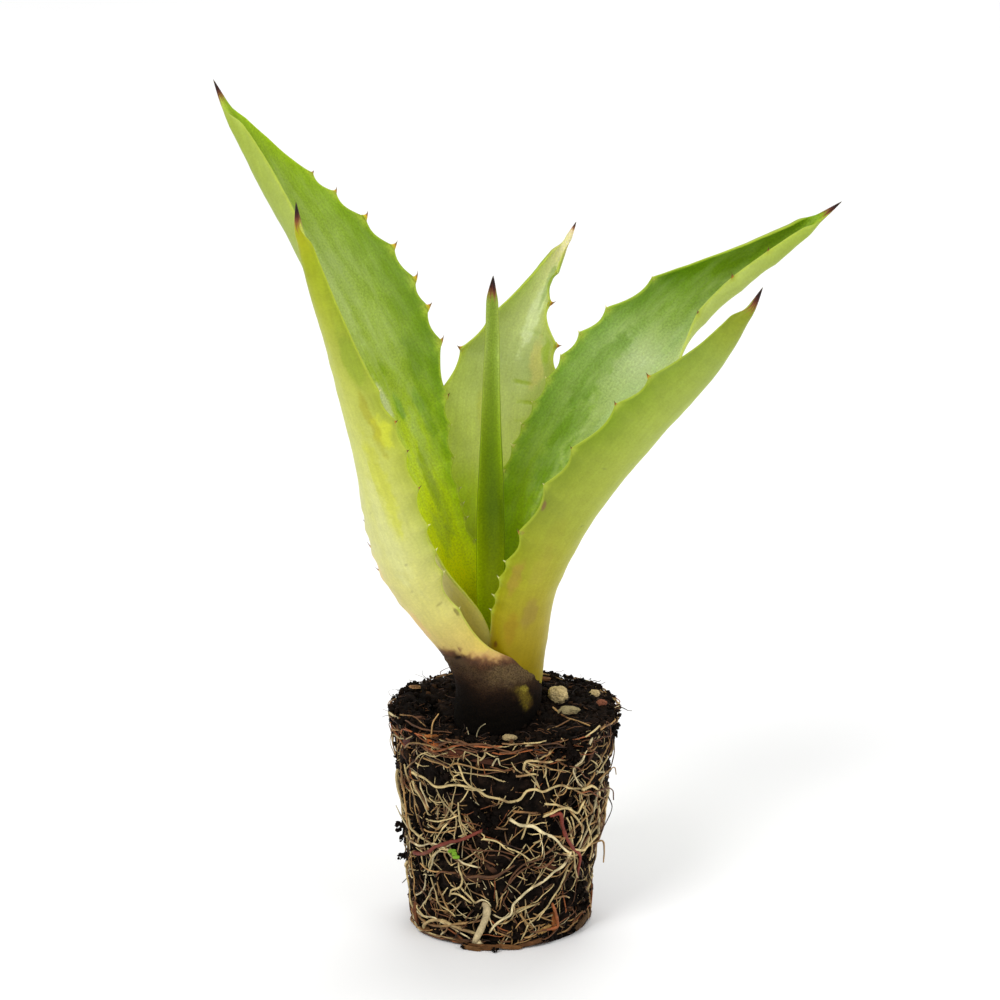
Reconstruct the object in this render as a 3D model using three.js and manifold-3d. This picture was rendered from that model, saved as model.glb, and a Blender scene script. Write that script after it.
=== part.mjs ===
// A young agave lifted out of its nursery pot: a tapered ball of soil laced with roots, a short
// scarred stem standing in it, and six toothed leaves in a loose rosette.
//
// Lengths are millimetres and angles are degrees. +Z is up, and the front of the plant faces -Y.
// The origin is the centre of the flat underside of the root ball, which the plant stands on.

import * as THREE from 'three';
import { mergeVertices } from 'three/addons/utils/BufferGeometryUtils.js';
import Module from 'manifold-3d';

const wasm = await Module();
wasm.setup();

// ---------- Driving dimensions ----------

const CLEARANCE = 0.3; // air between neighbouring pieces

// The root ball keeps the shape of a 9 cm nursery pot.
const BALL_HEIGHT = 80;
const BALL_FOOT_RADIUS = 31.5;
const BALL_RIM_RADIUS = 41;
const BALL_FLAT_RADIUS = 29; // the flat that the ball stands on
const BALL_SIDES = 30;
const WALL_RELIEF = 1.1; // how far clods stand in and out of the wall
const GROUND_DROP = 0.9; // the ground lies this far below the rim's full height
const GROUND_RELIEF = 1.3;
const HOLLOW_DEPTH = 9; // the soil is washed away from the neck at the front left
const HOLLOW_REACH = 34;
const HOLLOW_ANGLE = -125;
const MOUND_HEIGHT = 4.5; // and heaped against it on the other side
const MOUND_REACH = 30;

// The stem is a short stump, with a slim core that carries the leaves.
const NECK_X = -2.5;
const NECK_RADIUS = 14.6;
const CORE_RADIUS = 5.2;
const STUMP_FOOT = 44;
const STUMP_SHOULDER = 77;
const CORE_TOP = 95.5;
const STEM_SIDES = 18;

// The roots.
const CROWN_HEIGHT = 41.5; // where the roots leave the foot of the stem
const CROWN_RADIUS = 5;
const FINE_ROOT = { radius: 0.65, sides: 3 };
const MAIN_ROOT = { radius: 0.9, sides: 4 };
const THICK_ROOT = { radius: 1.9, sides: 6 };

// The leaves.
const EDGE_THICKNESS = 0.8;
const TOOTH_HEIGHT = 1.9;
const TOOTH_LENGTH = 1.7; // along the margin
const TOOTH_WIDTH = 1.0; // across the margin's thickness
const TOOTH_ROOT = 1.1; // how deep a tooth is sunk in the margin
const SCALLOP = 0.7; // how far the margin waves in and out between the teeth
const BASE_STEP = 10; // ring spacing where the margin has no teeth
const SPINE_START = 0.945; // share of the length where the hard end spine begins

// Each leaf is a blade swept along a spine, which runs up the middle of its inner face.
//   facing   the direction that the inner face looks in, as [share of length, angle from +X]
//   left and right   half widths as seen from in front of the inner face, tip up
//   curlLeft and curlRight   the angle that each half is rolled inwards through, from rib to margin
//   thick    thickness at the rib
//   teeth    the stretch of the length that carries teeth, and the space between them
const LEAVES = {
  leaf_centre_spike: {
    facing: [[0, 270], [1, 270]],
    spine: [[-4, 2, 93], [-4.6, 3.5, 110], [-4.6, 4, 135], [-4.4, 4, 171], [-4.1, 4, 207], [-4.1, 4, 224],
      [-4.1, 4, 231.7]],
    left: [[0, 4.2], [0.3, 4.8], [0.6, 3.6], [0.8, 2.7], [0.92, 1.8], [0.95, 1.5], [1, 0.05]],
    right: [[0, 4.2], [0.3, 4.8], [0.6, 3.6], [0.8, 2.7], [0.92, 1.8], [0.95, 1.5], [1, 0.05]],
    curlLeft: [[0, 30], [1, 30]],
    curlRight: [[0, 30], [1, 30]],
    thick: [[0, 7], [0.3, 8.5], [0.6, 7], [0.8, 5], [0.94, 3.4], [0.97, 2], [1, 0.1]],
    teeth: { from: 0.45, to: 0.75, spacing: 13, height: 0.5 },
    columns: 5,
    colour: 0x6f8f2a,
  },
  leaf_back_right: {
    facing: [[0, 200], [0.2, 230], [0.45, 243], [0.7, 235], [1, 225]],
    spine: [[4, 2, 75], [6, 4, 90], [9.5, 9, 112], [15.5, 16, 143], [31, 26, 170.5], [53, 36, 194], [78, 44, 216],
      [100, 50, 234.5], [116.9, 52, 246.2]],
    left: [[0, 13], [0.15, 16], [0.3, 19], [0.45, 22.5], [0.57, 24.5], [0.7, 21], [0.8, 14], [0.9, 8], [0.955, 2],
      [1, 0.05]],
    right: [[0, 13], [0.15, 15], [0.3, 19], [0.5, 22], [0.6, 20], [0.7, 15], [0.8, 10.5], [0.9, 6], [0.955, 2],
      [1, 0.05]],
    curlLeft: [[0, 115], [0.2, 75], [0.4, 35], [0.55, 30], [0.7, 60], [0.8, 100], [0.9, 110], [1, 90]],
    curlRight: [[0, 115], [0.2, 70], [0.4, 45], [0.6, 90], [0.75, 160], [0.9, 150], [1, 90]],
    thick: [[0, 2.4], [0.15, 3], [0.3, 4], [0.7, 2.6], [0.94, 2.4], [0.97, 1.6], [1, 0.1]],
    teeth: { from: 0.24, to: 0.93, spacing: 12.5, height: 1 },
    columns: 7,
    colour: 0x5f9440,
  },
  leaf_back_left: {
    facing: [[0, -32], [0.25, -42], [1, -35]],
    spine: [[-9, 5, 75], [-12, 9, 108], [-21, 15, 138], [-29.5, 20, 160], [-44.5, 27, 193], [-63, 33, 228],
      [-81.5, 38, 258], [-94.5, 40, 281], [-99.5, 40, 291.6]],
    left: [[0, 19], [0.13, 22], [0.23, 22], [0.32, 21], [0.5, 23], [0.65, 20.5], [0.8, 13], [0.9, 7], [0.955, 2],
      [1, 0.05]],
    right: [[0, 19], [0.13, 13], [0.27, 13], [0.4, 19.5], [0.5, 26.5], [0.65, 30.5], [0.8, 20], [0.9, 8.5],
      [0.955, 2], [1, 0.05]],
    curlLeft: [[0, 125], [0.13, 118], [0.23, 72], [0.4, 55], [0.6, 60], [0.8, 120], [0.9, 160], [1, 90]],
    curlRight: [[0, 125], [0.15, 75], [0.4, 38], [0.7, 5], [0.9, 10], [1, 90]],
    thick: [[0, 2.4], [0.15, 3], [0.3, 4], [0.7, 2.6], [0.94, 2.4], [0.97, 1.6], [1, 0.1]],
    teeth: { from: 0.17, to: 0.93, spacing: 12.5, height: 1 },
    columns: 7,
    colour: 0x6d9d3c,
  },
  leaf_front_right: {
    facing: [[0, 112], [0.3, 125], [0.5, 130], [1, 140]],
    spine: [[3.2, -9.4, 75], [4.6, -10.6, 88], [7, -13, 105], [12, -18, 130], [27.5, -26.5, 161],
      [49, -34, 190], [69, -38, 213], [81, -40, 230.5], [84.1, -41, 237.7]],
    left: [[0, 20], [0.12, 16], [0.2, 12], [0.3, 9], [0.4, 7.5], [0.5, 9], [0.6, 10.5], [0.7, 12.5], [0.8, 11.5],
      [0.9, 6], [0.95, 2], [1, 0.05]],
    right: [[0, 18], [0.12, 13], [0.3, 12.5], [0.5, 15.5], [0.65, 14.5], [0.8, 10], [0.9, 5.5], [0.95, 2],
      [1, 0.05]],
    curlLeft: [[0, 105], [0.15, 75], [0.4, 45], [0.7, 50], [0.9, 75], [1, 90]],
    curlRight: [[0, 90], [0.15, 70], [0.4, 45], [0.7, 50], [0.9, 75], [1, 90]],
    thick: [[0, 2.6], [0.15, 3], [0.3, 4], [0.7, 2.6], [0.94, 2.4], [0.97, 1.6], [1, 0.1]],
    teeth: { from: 0.2, to: 0.92, spacing: 11.5, height: 0.9 },
    columns: 5,
    colour: 0xa5ad52,
  },
  leaf_back_centre: {
    facing: [[0, 265], [0.3, 258], [1, 250]],
    spine: [[-1, 11.6, 75], [0, 16, 90], [2, 25, 118], [2, 35, 152], [4, 43, 182], [11, 49, 206], [20, 53, 225],
      [24.6, 56, 237.4]],
    left: [[0, 18], [0.2, 19], [0.43, 22.5], [0.6, 26], [0.7, 22.5], [0.8, 16], [0.9, 8.5], [0.96, 1.3],
      [1, 0.05]],
    right: [[0, 18], [0.2, 17.5], [0.43, 17], [0.64, 17], [0.74, 11.5], [0.82, 6.5], [0.9, 4.5], [0.96, 1.3],
      [1, 0.05]],
    curlLeft: [[0, 90], [0.2, 60], [0.43, 40], [0.62, 45], [0.72, 70], [0.9, 110], [1, 90]],
    curlRight: [[0, 90], [0.2, 55], [0.43, 20], [0.7, 30], [0.9, 75], [1, 90]],
    thick: [[0, 2.6], [0.15, 3], [0.3, 3.5], [0.7, 2.4], [0.94, 2], [0.97, 1.4], [1, 0.1]],
    teeth: { from: 0.3, to: 0.93, spacing: 11.5, height: 0.9 },
    columns: 5,
    colour: 0xa9be66,
  },
  leaf_front_left: {
    facing: [[0, 72], [0.3, 62], [0.6, 35], [1, 20]],
    spine: [[-7, -13.7, 73], [-9, -16.5, 95], [-22.5, -22, 120], [-31.5, -26.5, 138], [-41.5, -31, 170],
      [-53.5, -36, 209], [-64, -40, 247], [-68.2, -41, 267.6]],
    left: [[0, 22], [0.04, 28], [0.07, 25], [0.1, 17], [0.15, 8], [0.22, 6], [0.28, 8], [0.33, 11],
      [0.5, 14], [0.65, 11], [0.8, 7], [0.9, 4], [0.95, 2], [1, 0.05]],
    right: [[0, 24], [0.08, 17], [0.14, 15], [0.22, 15.5], [0.32, 18], [0.5, 19.5], [0.65, 18], [0.8, 13],
      [0.9, 7], [0.95, 2], [1, 0.05]],
    curlLeft: [[0, 84], [0.04, 105], [0.07, 94], [0.1, 62], [0.15, 34], [0.25, 42], [0.4, 50],
      [0.7, 60], [0.9, 75], [1, 90]],
    curlRight: [[0, 98], [0.17, 60], [0.4, 45], [0.7, 60], [0.9, 75], [1, 90]],
    thick: [[0, 1.5], [0.12, 2.4], [0.3, 4], [0.7, 2.6], [0.94, 2.4], [0.97, 1.6], [1, 0.1]],
    teeth: { from: 0.2, to: 0.92, spacing: 11.5, height: 0.9 },
    columns: 7,
    colour: 0xb3b45c,
  },
};

// Roots that wander over the wall of the ball, as [angle round the ball, height]. The first three
// come from the foot of the stem, and each of the others springs from a point of one before it.
const WALL_ROOTS = [
  { size: MAIN_ROOT, deep: true, route: [[-146, 58], [-134, 58], [-124, 60], [-112, 62], [-99, 59], [-86, 56],
    [-76, 60], [-67, 60], [-57, 61], [-42, 56], [-28, 59]] },
  { size: MAIN_ROOT, deep: true, route: [[-48, 34], [-50, 29], [-57, 27], [-64, 24], [-73, 20], [-82, 16],
    [-91, 10], [-99, 8]] },
  { size: THICK_ROOT, deep: true, route: [[-98, 20], [-100, 15], [-103, 10], [-106, 6], [-103, 3.4],
    [-97, 3], [-91, 3]] },
  { size: MAIN_ROOT, route: [[-37, 74], [-42, 71], [-49, 66], [-47, 60], [-42, 56], [-43, 45]] },
  { size: FINE_ROOT, route: [[-150, 66], [-136, 70], [-117, 69], [-94, 68], [-77, 71], [-62, 71], [-49, 66]] },
  { size: FINE_ROOT, route: [[-112, 43], [-95, 41], [-87, 38], [-77, 35], [-69, 31], [-64, 24]] },
  { size: MAIN_ROOT, route: [[-90, 51], [-79, 48], [-70, 44], [-62, 41], [-48, 34]] },
  { size: FINE_ROOT, route: [[-50, 29], [-53, 22], [-60, 14], [-69, 9], [-77, 5]] },
  { size: MAIN_ROOT, route: [[-106, 6], [-123, 7], [-133, 7], [-145, 5], [-150, 9]] },
  { size: FINE_ROOT, route: [[-134, 58], [-128, 54], [-120, 50], [-113, 41]] },
  { size: FINE_ROOT, route: [[-119, 36], [-116, 26], [-116, 21], [-108, 17], [-100, 15]] },
  { size: FINE_ROOT, route: [[-146, 58], [-149, 48], [-141, 38], [-134, 30], [-136, 20]] },
  { size: FINE_ROOT, route: [[-58, 50], [-53, 42], [-48, 34], [-38, 28], [-32, 18]] },
  { size: FINE_ROOT, route: [[-160, 27], [-150, 31], [-138, 34], [-124, 37], [-113, 41], [-97, 47]] },
];

// The sides and the back, which carry the same lace of roots, are drawn by a seeded rule.
const DRAWN_ROOTS = 6;
const DRAWN_FROM = -15; // angles round the ball, the short way past the back
const DRAWN_TO = 195;
const ROOT_SEED = 11;

// Stones and bark that lie in the soil: [angle, distance from the axis], size and turn.
const STONES = {
  pumice_large: { at: [6, 18.8], size: [3.7, 3.4, 3.3], lift: 1.9, seed: 3, colour: 0xb9ab86 },
  pumice_flat: { at: [-15, 23.5], size: [4, 2.4, 1.7], lift: 1.1, seed: 5, colour: 0x9a9673 },
  pumice_small: { at: [17, 33.5], size: [2, 1.7, 1.5], lift: 0.8, seed: 8, colour: 0xc5b79a },
  pumice_rim: { at: [-87, 36.5], size: [2.4, 1.6, 1.2], lift: 0.6, seed: 13, colour: 0xb9ad8c },
  pumice_back: { at: [118, 26], size: [3.4, 2.8, 2.4], lift: 1.4, seed: 21, colour: 0xb4a782 },
  grit_red: { at: [-3, 34], size: [1.9, 1.5, 1.4], lift: 0.7, seed: 34, colour: 0x8a5240 },
};
const CHIPS = {
  bark_chip_left: { at: [151, 36], size: [6, 3.4, 1.6], turn: 60, tilt: 24, lift: 0.8, colour: 0x8a5f3c },
  bark_chip_rim: { at: [-154, 33], size: [5, 4, 2], turn: 20, tilt: 35, lift: 0.6, colour: 0x5d4030 },
  bark_chip_front: { at: [-130, 38], size: [7, 3.2, 1.6], turn: -32, tilt: 12, lift: -0.9, colour: 0x9a6234 },
  bark_chip_back: { at: [62, 29], size: [8, 5, 1.8], turn: 40, tilt: 14, lift: 0.6, colour: 0x6b4932 },
};

// ---------- Numbers ----------

const radians = (degrees) => THREE.MathUtils.degToRad(degrees);
const smooth = (low, high, value) => THREE.MathUtils.smoothstep(value, low, high);

// A repeatable stream of numbers from 0 to 1.
function seededRandom(seed) {
  let state = seed;
  return () => {
    state = (state + 0x6d2b79f5) | 0;
    let mixed = Math.imul(state ^ (state >>> 15), 1 | state);
    mixed = (mixed + Math.imul(mixed ^ (mixed >>> 7), 61 | mixed)) ^ mixed;
    return ((mixed ^ (mixed >>> 14)) >>> 0) / 4294967296;
  };
}

// A repeatable number from -1 to 1 for each point of a whole-number lattice.
function latticeValue(i, j) {
  const mixed = Math.imul(i, 374761393) ^ Math.imul(j, 668265263);
  return seededRandom(mixed)() * 2 - 1;
}

// Smooth noise over a lattice whose first direction repeats after `period` cells.
function noise(u, v, period) {
  const i = Math.floor(u);
  const j = Math.floor(v);
  const fu = THREE.MathUtils.smoothstep(u - i, 0, 1);
  const fv = THREE.MathUtils.smoothstep(v - j, 0, 1);
  const column = (k) => ((k % period) + period) % period;
  const low = THREE.MathUtils.lerp(latticeValue(column(i), j), latticeValue(column(i + 1), j), fu);
  const high = THREE.MathUtils.lerp(latticeValue(column(i), j + 1), latticeValue(column(i + 1), j + 1), fu);
  return THREE.MathUtils.lerp(low, high, fv);
}

// A smooth curve through values at rising knots, with the slope at each knot taken from its neighbours.
function curveAt(knots, values, place) {
  const last = knots.length - 1;
  const s = THREE.MathUtils.clamp(place, knots[0], knots[last]);
  let i = 0;
  while (i < last - 1 && s >= knots[i + 1]) i += 1;
  const slope = (j) => {
    const before = Math.max(j - 1, 0);
    const after = Math.min(j + 1, last);
    return (values[after] - values[before]) / (knots[after] - knots[before]);
  };
  const span = knots[i + 1] - knots[i];
  const u = (s - knots[i]) / span;
  return (2 * u ** 3 - 3 * u ** 2 + 1) * values[i]
    + (u ** 3 - 2 * u ** 2 + u) * span * slope(i)
    + (3 * u ** 2 - 2 * u ** 3) * values[i + 1]
    + (u ** 3 - u ** 2) * span * slope(i + 1);
}

const fromTable = (table, s) => curveAt(table.map((row) => row[0]), table.map((row) => row[1]), s);

// ---------- Solids ----------

// Points and triangles as a solid whose faces look outwards.
function solidOf(points, triangles) {
  let volume = 0;
  for (const [a, b, c] of triangles) {
    volume += points[a].dot(new THREE.Vector3().crossVectors(points[b], points[c]));
  }
  const turned = volume < 0 ? triangles.map(([a, b, c]) => [a, c, b]) : triangles;
  return new wasm.Manifold(new wasm.Mesh({
    numProp: 3,
    vertProperties: new Float32Array(points.flatMap((point) => point.toArray())),
    triVerts: new Uint32Array(turned.flat()),
  }));
}

function solidFromGeometry(geometry) {
  geometry.deleteAttribute('normal');
  geometry.deleteAttribute('uv');
  const merged = mergeVertices(geometry, 1e-3);
  const position = merged.getAttribute('position');
  const points = [];
  for (let i = 0; i < position.count; i += 1) {
    points.push(new THREE.Vector3().fromBufferAttribute(position, i));
  }
  const index = merged.index.array;
  const triangles = [];
  for (let i = 0; i < index.length; i += 3) {
    triangles.push([index[i], index[i + 1], index[i + 2]]);
  }
  return solidOf(points, triangles);
}

// A skin over closed rings of equally many points, closed by one point at each end.
function skinOver(rings, first, last) {
  const around = rings[0].length;
  const points = [...rings.flat(), first, last];
  const firstIndex = points.length - 2;
  const lastIndex = points.length - 1;
  const triangles = [];
  for (let i = 0; i < rings.length - 1; i += 1) {
    for (let j = 0; j < around; j += 1) {
      const a = i * around + j;
      const b = i * around + ((j + 1) % around);
      triangles.push([a, b, b + around], [a, b + around, a + around]);
    }
  }
  const top = (rings.length - 1) * around;
  for (let j = 0; j < around; j += 1) {
    const next = (j + 1) % around;
    triangles.push([next, j, firstIndex], [top + j, top + next, lastIndex]);
  }
  return solidOf(points, triangles);
}

const joined = (solids) => solids.reduce((whole, solid) => whole.add(solid));
const cutBy = (solid, cutters) => cutters.reduce((rest, cutter) => rest.subtract(cutter), solid);

// The largest body of a solid that a cut may have left in several.
function largest(solid) {
  return solid.decompose().reduce((best, body) => (body.volume() > best.volume() ? body : best));
}

function geometryOf(solid) {
  const mesh = solid.getMesh();
  const geometry = new THREE.BufferGeometry();
  geometry.setAttribute('position', new THREE.BufferAttribute(mesh.vertProperties, 3));
  geometry.setIndex(new THREE.BufferAttribute(mesh.triVerts, 1));
  geometry.computeVertexNormals();
  return geometry;
}

// ---------- Leaves ----------

class Leaf {
  constructor(spec) {
    this.spec = spec;
    this.points = spec.spine.map((point) => new THREE.Vector3(...point));
    const lengths = [0];
    for (let i = 1; i < this.points.length; i += 1) {
      lengths.push(lengths[i - 1] + this.points[i].distanceTo(this.points[i - 1]));
    }
    this.length = lengths.at(-1);
    this.knots = lengths.map((length) => length / this.length);
  }

  at(s) {
    const along = (axis) => curveAt(this.knots, this.points.map((point) => point[axis]), s);
    return new THREE.Vector3(along('x'), along('y'), along('z'));
  }

  // The direction of growth, the way the inner face looks, and the viewer's right.
  frame(s) {
    const step = 1e-3;
    const along = this.at(Math.min(s + step, 1)).sub(this.at(Math.max(s - step, 0))).normalize();
    const angle = radians(fromTable(this.spec.facing, s));
    const look = new THREE.Vector3(Math.cos(angle), Math.sin(angle), 0);
    look.addScaledVector(along, -look.dot(along)).normalize();
    return { along, look, right: new THREE.Vector3().crossVectors(along, look) };
  }

  // Counts half spaces between teeth along the leaf: even counts are teeth on the left margin, and
  // odd ones are teeth on the right margin.
  toothCount(s) {
    const { from, spacing } = this.spec.teeth;
    const distance = (s - from) * this.length;
    return (2 * distance) / spacing + 0.3 * Math.sin(0.11 * distance + this.length);
  }

  // The share of the length where the count reaches a whole number.
  placeOfCount(count) {
    const { from, spacing } = this.spec.teeth;
    let s = from + (count * spacing) / (2 * this.length);
    for (let i = 0; i < 6; i += 1) {
      s += ((count - this.toothCount(s)) * spacing) / (2 * this.length);
    }
    return s;
  }

  // How far a margin stands out of its smooth outline: out at its teeth, and in between them.
  scallop(s, side) {
    const { from, to, height } = this.spec.teeth;
    const fade = smooth(from - 0.05, from + 0.03, s) * (1 - smooth(to, to + 0.02, s));
    const wave = Math.cos(Math.PI * this.toothCount(s)) * (side < 0 ? 1 : -1);
    return SCALLOP * height * fade * wave;
  }

  // A point of the inner face, the outward direction within the face, and the face's normal.
  // `across` runs from -1 at the left margin to 1 at the right margin.
  inner(s, across, grow = 0) {
    const { look, right } = this.frame(s);
    const side = across < 0 ? -1 : 1;
    const half = fromTable(side < 0 ? this.spec.left : this.spec.right, s);
    const width = half + this.scallop(s, side) + grow;
    const curl = radians(fromTable(side < 0 ? this.spec.curlLeft : this.spec.curlRight, s));
    const angle = curl * Math.abs(across);
    const point = this.at(s)
      .addScaledVector(right, (side * width * Math.sin(angle)) / curl)
      .addScaledVector(look, (width * (1 - Math.cos(angle))) / curl);
    const normal = look.clone().multiplyScalar(Math.cos(angle)).addScaledVector(right, -side * Math.sin(angle));
    const outward = right.clone().multiplyScalar(side * Math.cos(angle)).addScaledVector(look, Math.sin(angle));
    return { point, normal, outward, width };
  }

  thickness(s, across, width) {
    const edge = Math.min(EDGE_THICKNESS, 0.5 * width + 0.05);
    const rib = fromTable(this.spec.thick, s);
    return edge + Math.max(rib - edge, 0) * (1 - across * across);
  }

  // A closed ring: across the inner face from left to right, and back across the outer face.
  ring(s, grow) {
    const { columns } = this.spec;
    const face = [];
    const back = [];
    for (let j = 0; j < columns; j += 1) {
      const across = -1 + (2 * j) / (columns - 1);
      const { point, normal, width } = this.inner(s, across, grow);
      const thick = this.thickness(s, across, width);
      face.push(point.clone().addScaledVector(normal, grow));
      back.push(point.clone().addScaledVector(normal, -thick - grow));
    }
    return [...face, ...back.reverse()];
  }

  lastTooth() {
    return Math.floor(this.toothCount(this.spec.teeth.to));
  }

  // Where the rings lie: evenly below the teeth, then at each tooth, then up the end spine.
  stations() {
    const { from, to } = this.spec.teeth;
    const places = [];
    const plain = Math.ceil((from * this.length) / BASE_STEP);
    for (let i = 0; i < plain; i += 1) places.push((from * i) / plain);
    for (let k = 0; k <= this.lastTooth(); k += 1) places.push(this.placeOfCount(k));
    const end = places.at(-1);
    if (to < 0.9) {
      const steps = Math.ceil(((0.9 - end) * this.length) / BASE_STEP);
      for (let i = 1; i <= steps; i += 1) places.push(end + ((0.9 - end) * i) / steps);
    }
    return [...places, SPINE_START, 0.972];
  }

  blade(grow) {
    const rings = this.stations().map((s) => this.ring(s, grow));
    const around = rings[0].length;
    const { columns } = this.spec;
    const points = [...rings.flat(), this.at(1)];
    const tip = points.length - 1;
    const triangles = [];
    for (let i = 0; i < rings.length - 1; i += 1) {
      for (let j = 0; j < around; j += 1) {
        const a = i * around + j;
        const b = i * around + ((j + 1) % around);
        // Both faces are split from the lower left to the upper right, so that they stay parallel.
        if (j < columns) triangles.push([a, b, b + around], [a, b + around, a + around]);
        else triangles.push([a, b, a + around], [b, b + around, a + around]);
      }
    }
    const top = (rings.length - 1) * around;
    for (let j = 0; j < around; j += 1) triangles.push([top + j, top + ((j + 1) % around), tip]);
    for (let j = 0; j < columns - 1; j += 1) {
      const back = around - 1 - j;
      triangles.push([j + 1, j, back], [j + 1, back, back - 1]);
    }
    return solidOf(points, triangles);
  }

  // A tooth is a three-sided spike that leans towards the tip of the leaf.
  tooth(count, grow) {
    const s = this.placeOfCount(count);
    const { normal, outward, point, width } = this.inner(s, count % 2 === 0 ? -1 : 1, grow);
    const { along } = this.frame(s);
    const middle = point.clone().addScaledVector(normal, -this.thickness(s, 1, width) / 2);
    const foot = middle.clone().addScaledVector(outward, -TOOTH_ROOT);
    const height = TOOTH_HEIGHT * this.spec.teeth.height;
    const corner = (a, b) => foot.clone()
      .addScaledVector(along, a * (TOOTH_LENGTH / 2 + grow))
      .addScaledVector(normal, b * (TOOTH_WIDTH / 2 + grow));
    const base = [corner(-1, -0.6), corner(1, -0.6), corner(0, 1)];
    const tip = middle.addScaledVector(outward, height + grow).addScaledVector(along, 0.45 * height);
    return skinOver([base], foot, tip);
  }

  solid(grow = 0) {
    const teeth = [];
    for (let count = 0; count <= this.lastTooth(); count += 1) teeth.push(this.tooth(count, grow));
    return joined([this.blade(grow), ...teeth]);
  }
}

// ---------- Soil ----------

function wallRadius(angle, height) {
  const straight = THREE.MathUtils.lerp(BALL_FOOT_RADIUS, BALL_RIM_RADIUS, height / BALL_HEIGHT);
  const turn = angle / 360;
  const lumps = noise(turn * 14, height / 16, 14) * 0.6 + noise(turn * 30, height / 7, 30) * 0.4;
  return straight + WALL_RELIEF * lumps;
}

function groundHeight(x, y) {
  const distance = Math.hypot(x - NECK_X, y);
  const turn = Math.atan2(y, x - NECK_X) - radians(HOLLOW_ANGLE);
  const side = 0.5 + 0.5 * Math.cos(turn);
  const dip = HOLLOW_DEPTH * side * (1 - smooth(NECK_RADIUS + 3, HOLLOW_REACH, distance));
  const mound = MOUND_HEIGHT * (1 - side) * (1 - smooth(NECK_RADIUS, MOUND_REACH, distance));
  const lumps = noise((x + 50) / 9, (y + 50) / 9, 100) * 0.6 + noise((x + 50) / 4.5, (y + 50) / 4.5, 100) * 0.4;
  return BALL_HEIGHT - GROUND_DROP - dip + mound + GROUND_RELIEF * lumps;
}

const polar = (angle, distance, height) => new THREE.Vector3(
  distance * Math.cos(radians(angle)),
  distance * Math.sin(radians(angle)),
  height,
);

function soilBall() {
  const turns = Array.from({ length: BALL_SIDES }, (_, k) => (360 * k) / BALL_SIDES);
  const rings = [turns.map((turn) => polar(turn, BALL_FLAT_RADIUS, 0))];
  for (const height of [1.8, 11, 22, 32, 42, 52, 63, 75]) {
    rings.push(turns.map((turn) => polar(turn, wallRadius(turn, height), height)));
  }
  for (const inset of [2, 10, 18, 24]) {
    rings.push(turns.map((turn) => {
      const rim = polar(turn, wallRadius(turn, BALL_HEIGHT) - inset, 0);
      const edge = inset < 3 ? 0.8 : 0;
      return rim.setZ(groundHeight(rim.x, rim.y) - edge);
    }));
  }
  return skinOver(rings, new THREE.Vector3(0, 0, 0), new THREE.Vector3(NECK_X, 0, STUMP_SHOULDER - 8));
}

// ---------- Stem ----------

function stem(grow = 0) {
  const profile = [
    [0, STUMP_FOOT - grow],
    [9, STUMP_FOOT + 0.5 - grow],
    [13, 49],
    [NECK_RADIUS - 0.6, 56],
    [NECK_RADIUS, 63],
    [NECK_RADIUS - 0.5, 68],
    [NECK_RADIUS, 72],
    [NECK_RADIUS - 0.3, STUMP_SHOULDER - 0.6 + grow],
    [NECK_RADIUS - 1, STUMP_SHOULDER + grow],
    [CORE_RADIUS + 0.8, STUMP_SHOULDER + 0.2 + grow],
    [CORE_RADIUS, STUMP_SHOULDER + 2],
    [CORE_RADIUS - 0.6, CORE_TOP - 1],
    [CORE_RADIUS - 1.4, CORE_TOP + grow],
    [0, CORE_TOP + 0.2 + grow],
  ].map(([radius, height]) => new THREE.Vector2(radius > 0 ? radius + grow : 0, height));
  const geometry = new THREE.LatheGeometry(profile, STEM_SIDES);
  geometry.rotateX(Math.PI / 2);
  geometry.translate(NECK_X, 0, 0);
  return solidFromGeometry(geometry);
}

// ---------- Roots ----------

// A rod with one ring of corners at each of its points, pointed at both ends.
function rod(points, radius, sides) {
  const last = points.length - 1;
  const along = points.map((point, i) => {
    const before = new THREE.Vector3().subVectors(point, points[Math.max(i - 1, 0)]).normalize();
    const after = new THREE.Vector3().subVectors(points[Math.min(i + 1, last)], point).normalize();
    return before.add(after).normalize();
  });
  let side = new THREE.Vector3(0, 0, 1);
  const rings = points.map((centre, i) => {
    side = side.clone().addScaledVector(along[i], -side.dot(along[i])).normalize();
    const other = new THREE.Vector3().crossVectors(along[i], side);
    return Array.from({ length: sides }, (_, k) => {
      const turn = (2 * Math.PI * k) / sides;
      return centre.clone()
        .addScaledVector(side, radius * Math.cos(turn))
        .addScaledVector(other, radius * Math.sin(turn));
    });
  });
  const first = points[0].clone().addScaledVector(along[0], -radius);
  const end = points[last].clone().addScaledVector(along[last], radius);
  return skinOver(rings, first, end);
}

// A root lies half sunk in the wall and dips into the soil at its ends. A deep one starts at the crown.
function wallRoot({ size: { radius, sides }, deep, route }, grow) {
  const onWall = (angle, height) => polar(angle, wallRadius(angle, height) + 0.35 * radius, height);
  const outside = route.map(([angle, height]) => onWall(angle, height));
  const [angle, height] = route[0];
  const inside = deep ? [
    new THREE.Vector3(NECK_X, 0, CROWN_HEIGHT),
    polar(angle, 16, THREE.MathUtils.lerp(CROWN_HEIGHT, height, 0.35) - 2),
    polar(angle, wallRadius(angle, height) - 5, height),
  ] : [];
  const [endAngle, endHeight] = route.at(-1);
  const tail = polar(endAngle, wallRadius(endAngle, endHeight) - 3, endHeight - 0.3);
  return rod([...inside, ...outside, tail], radius + 2 * grow, sides);
}

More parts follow.
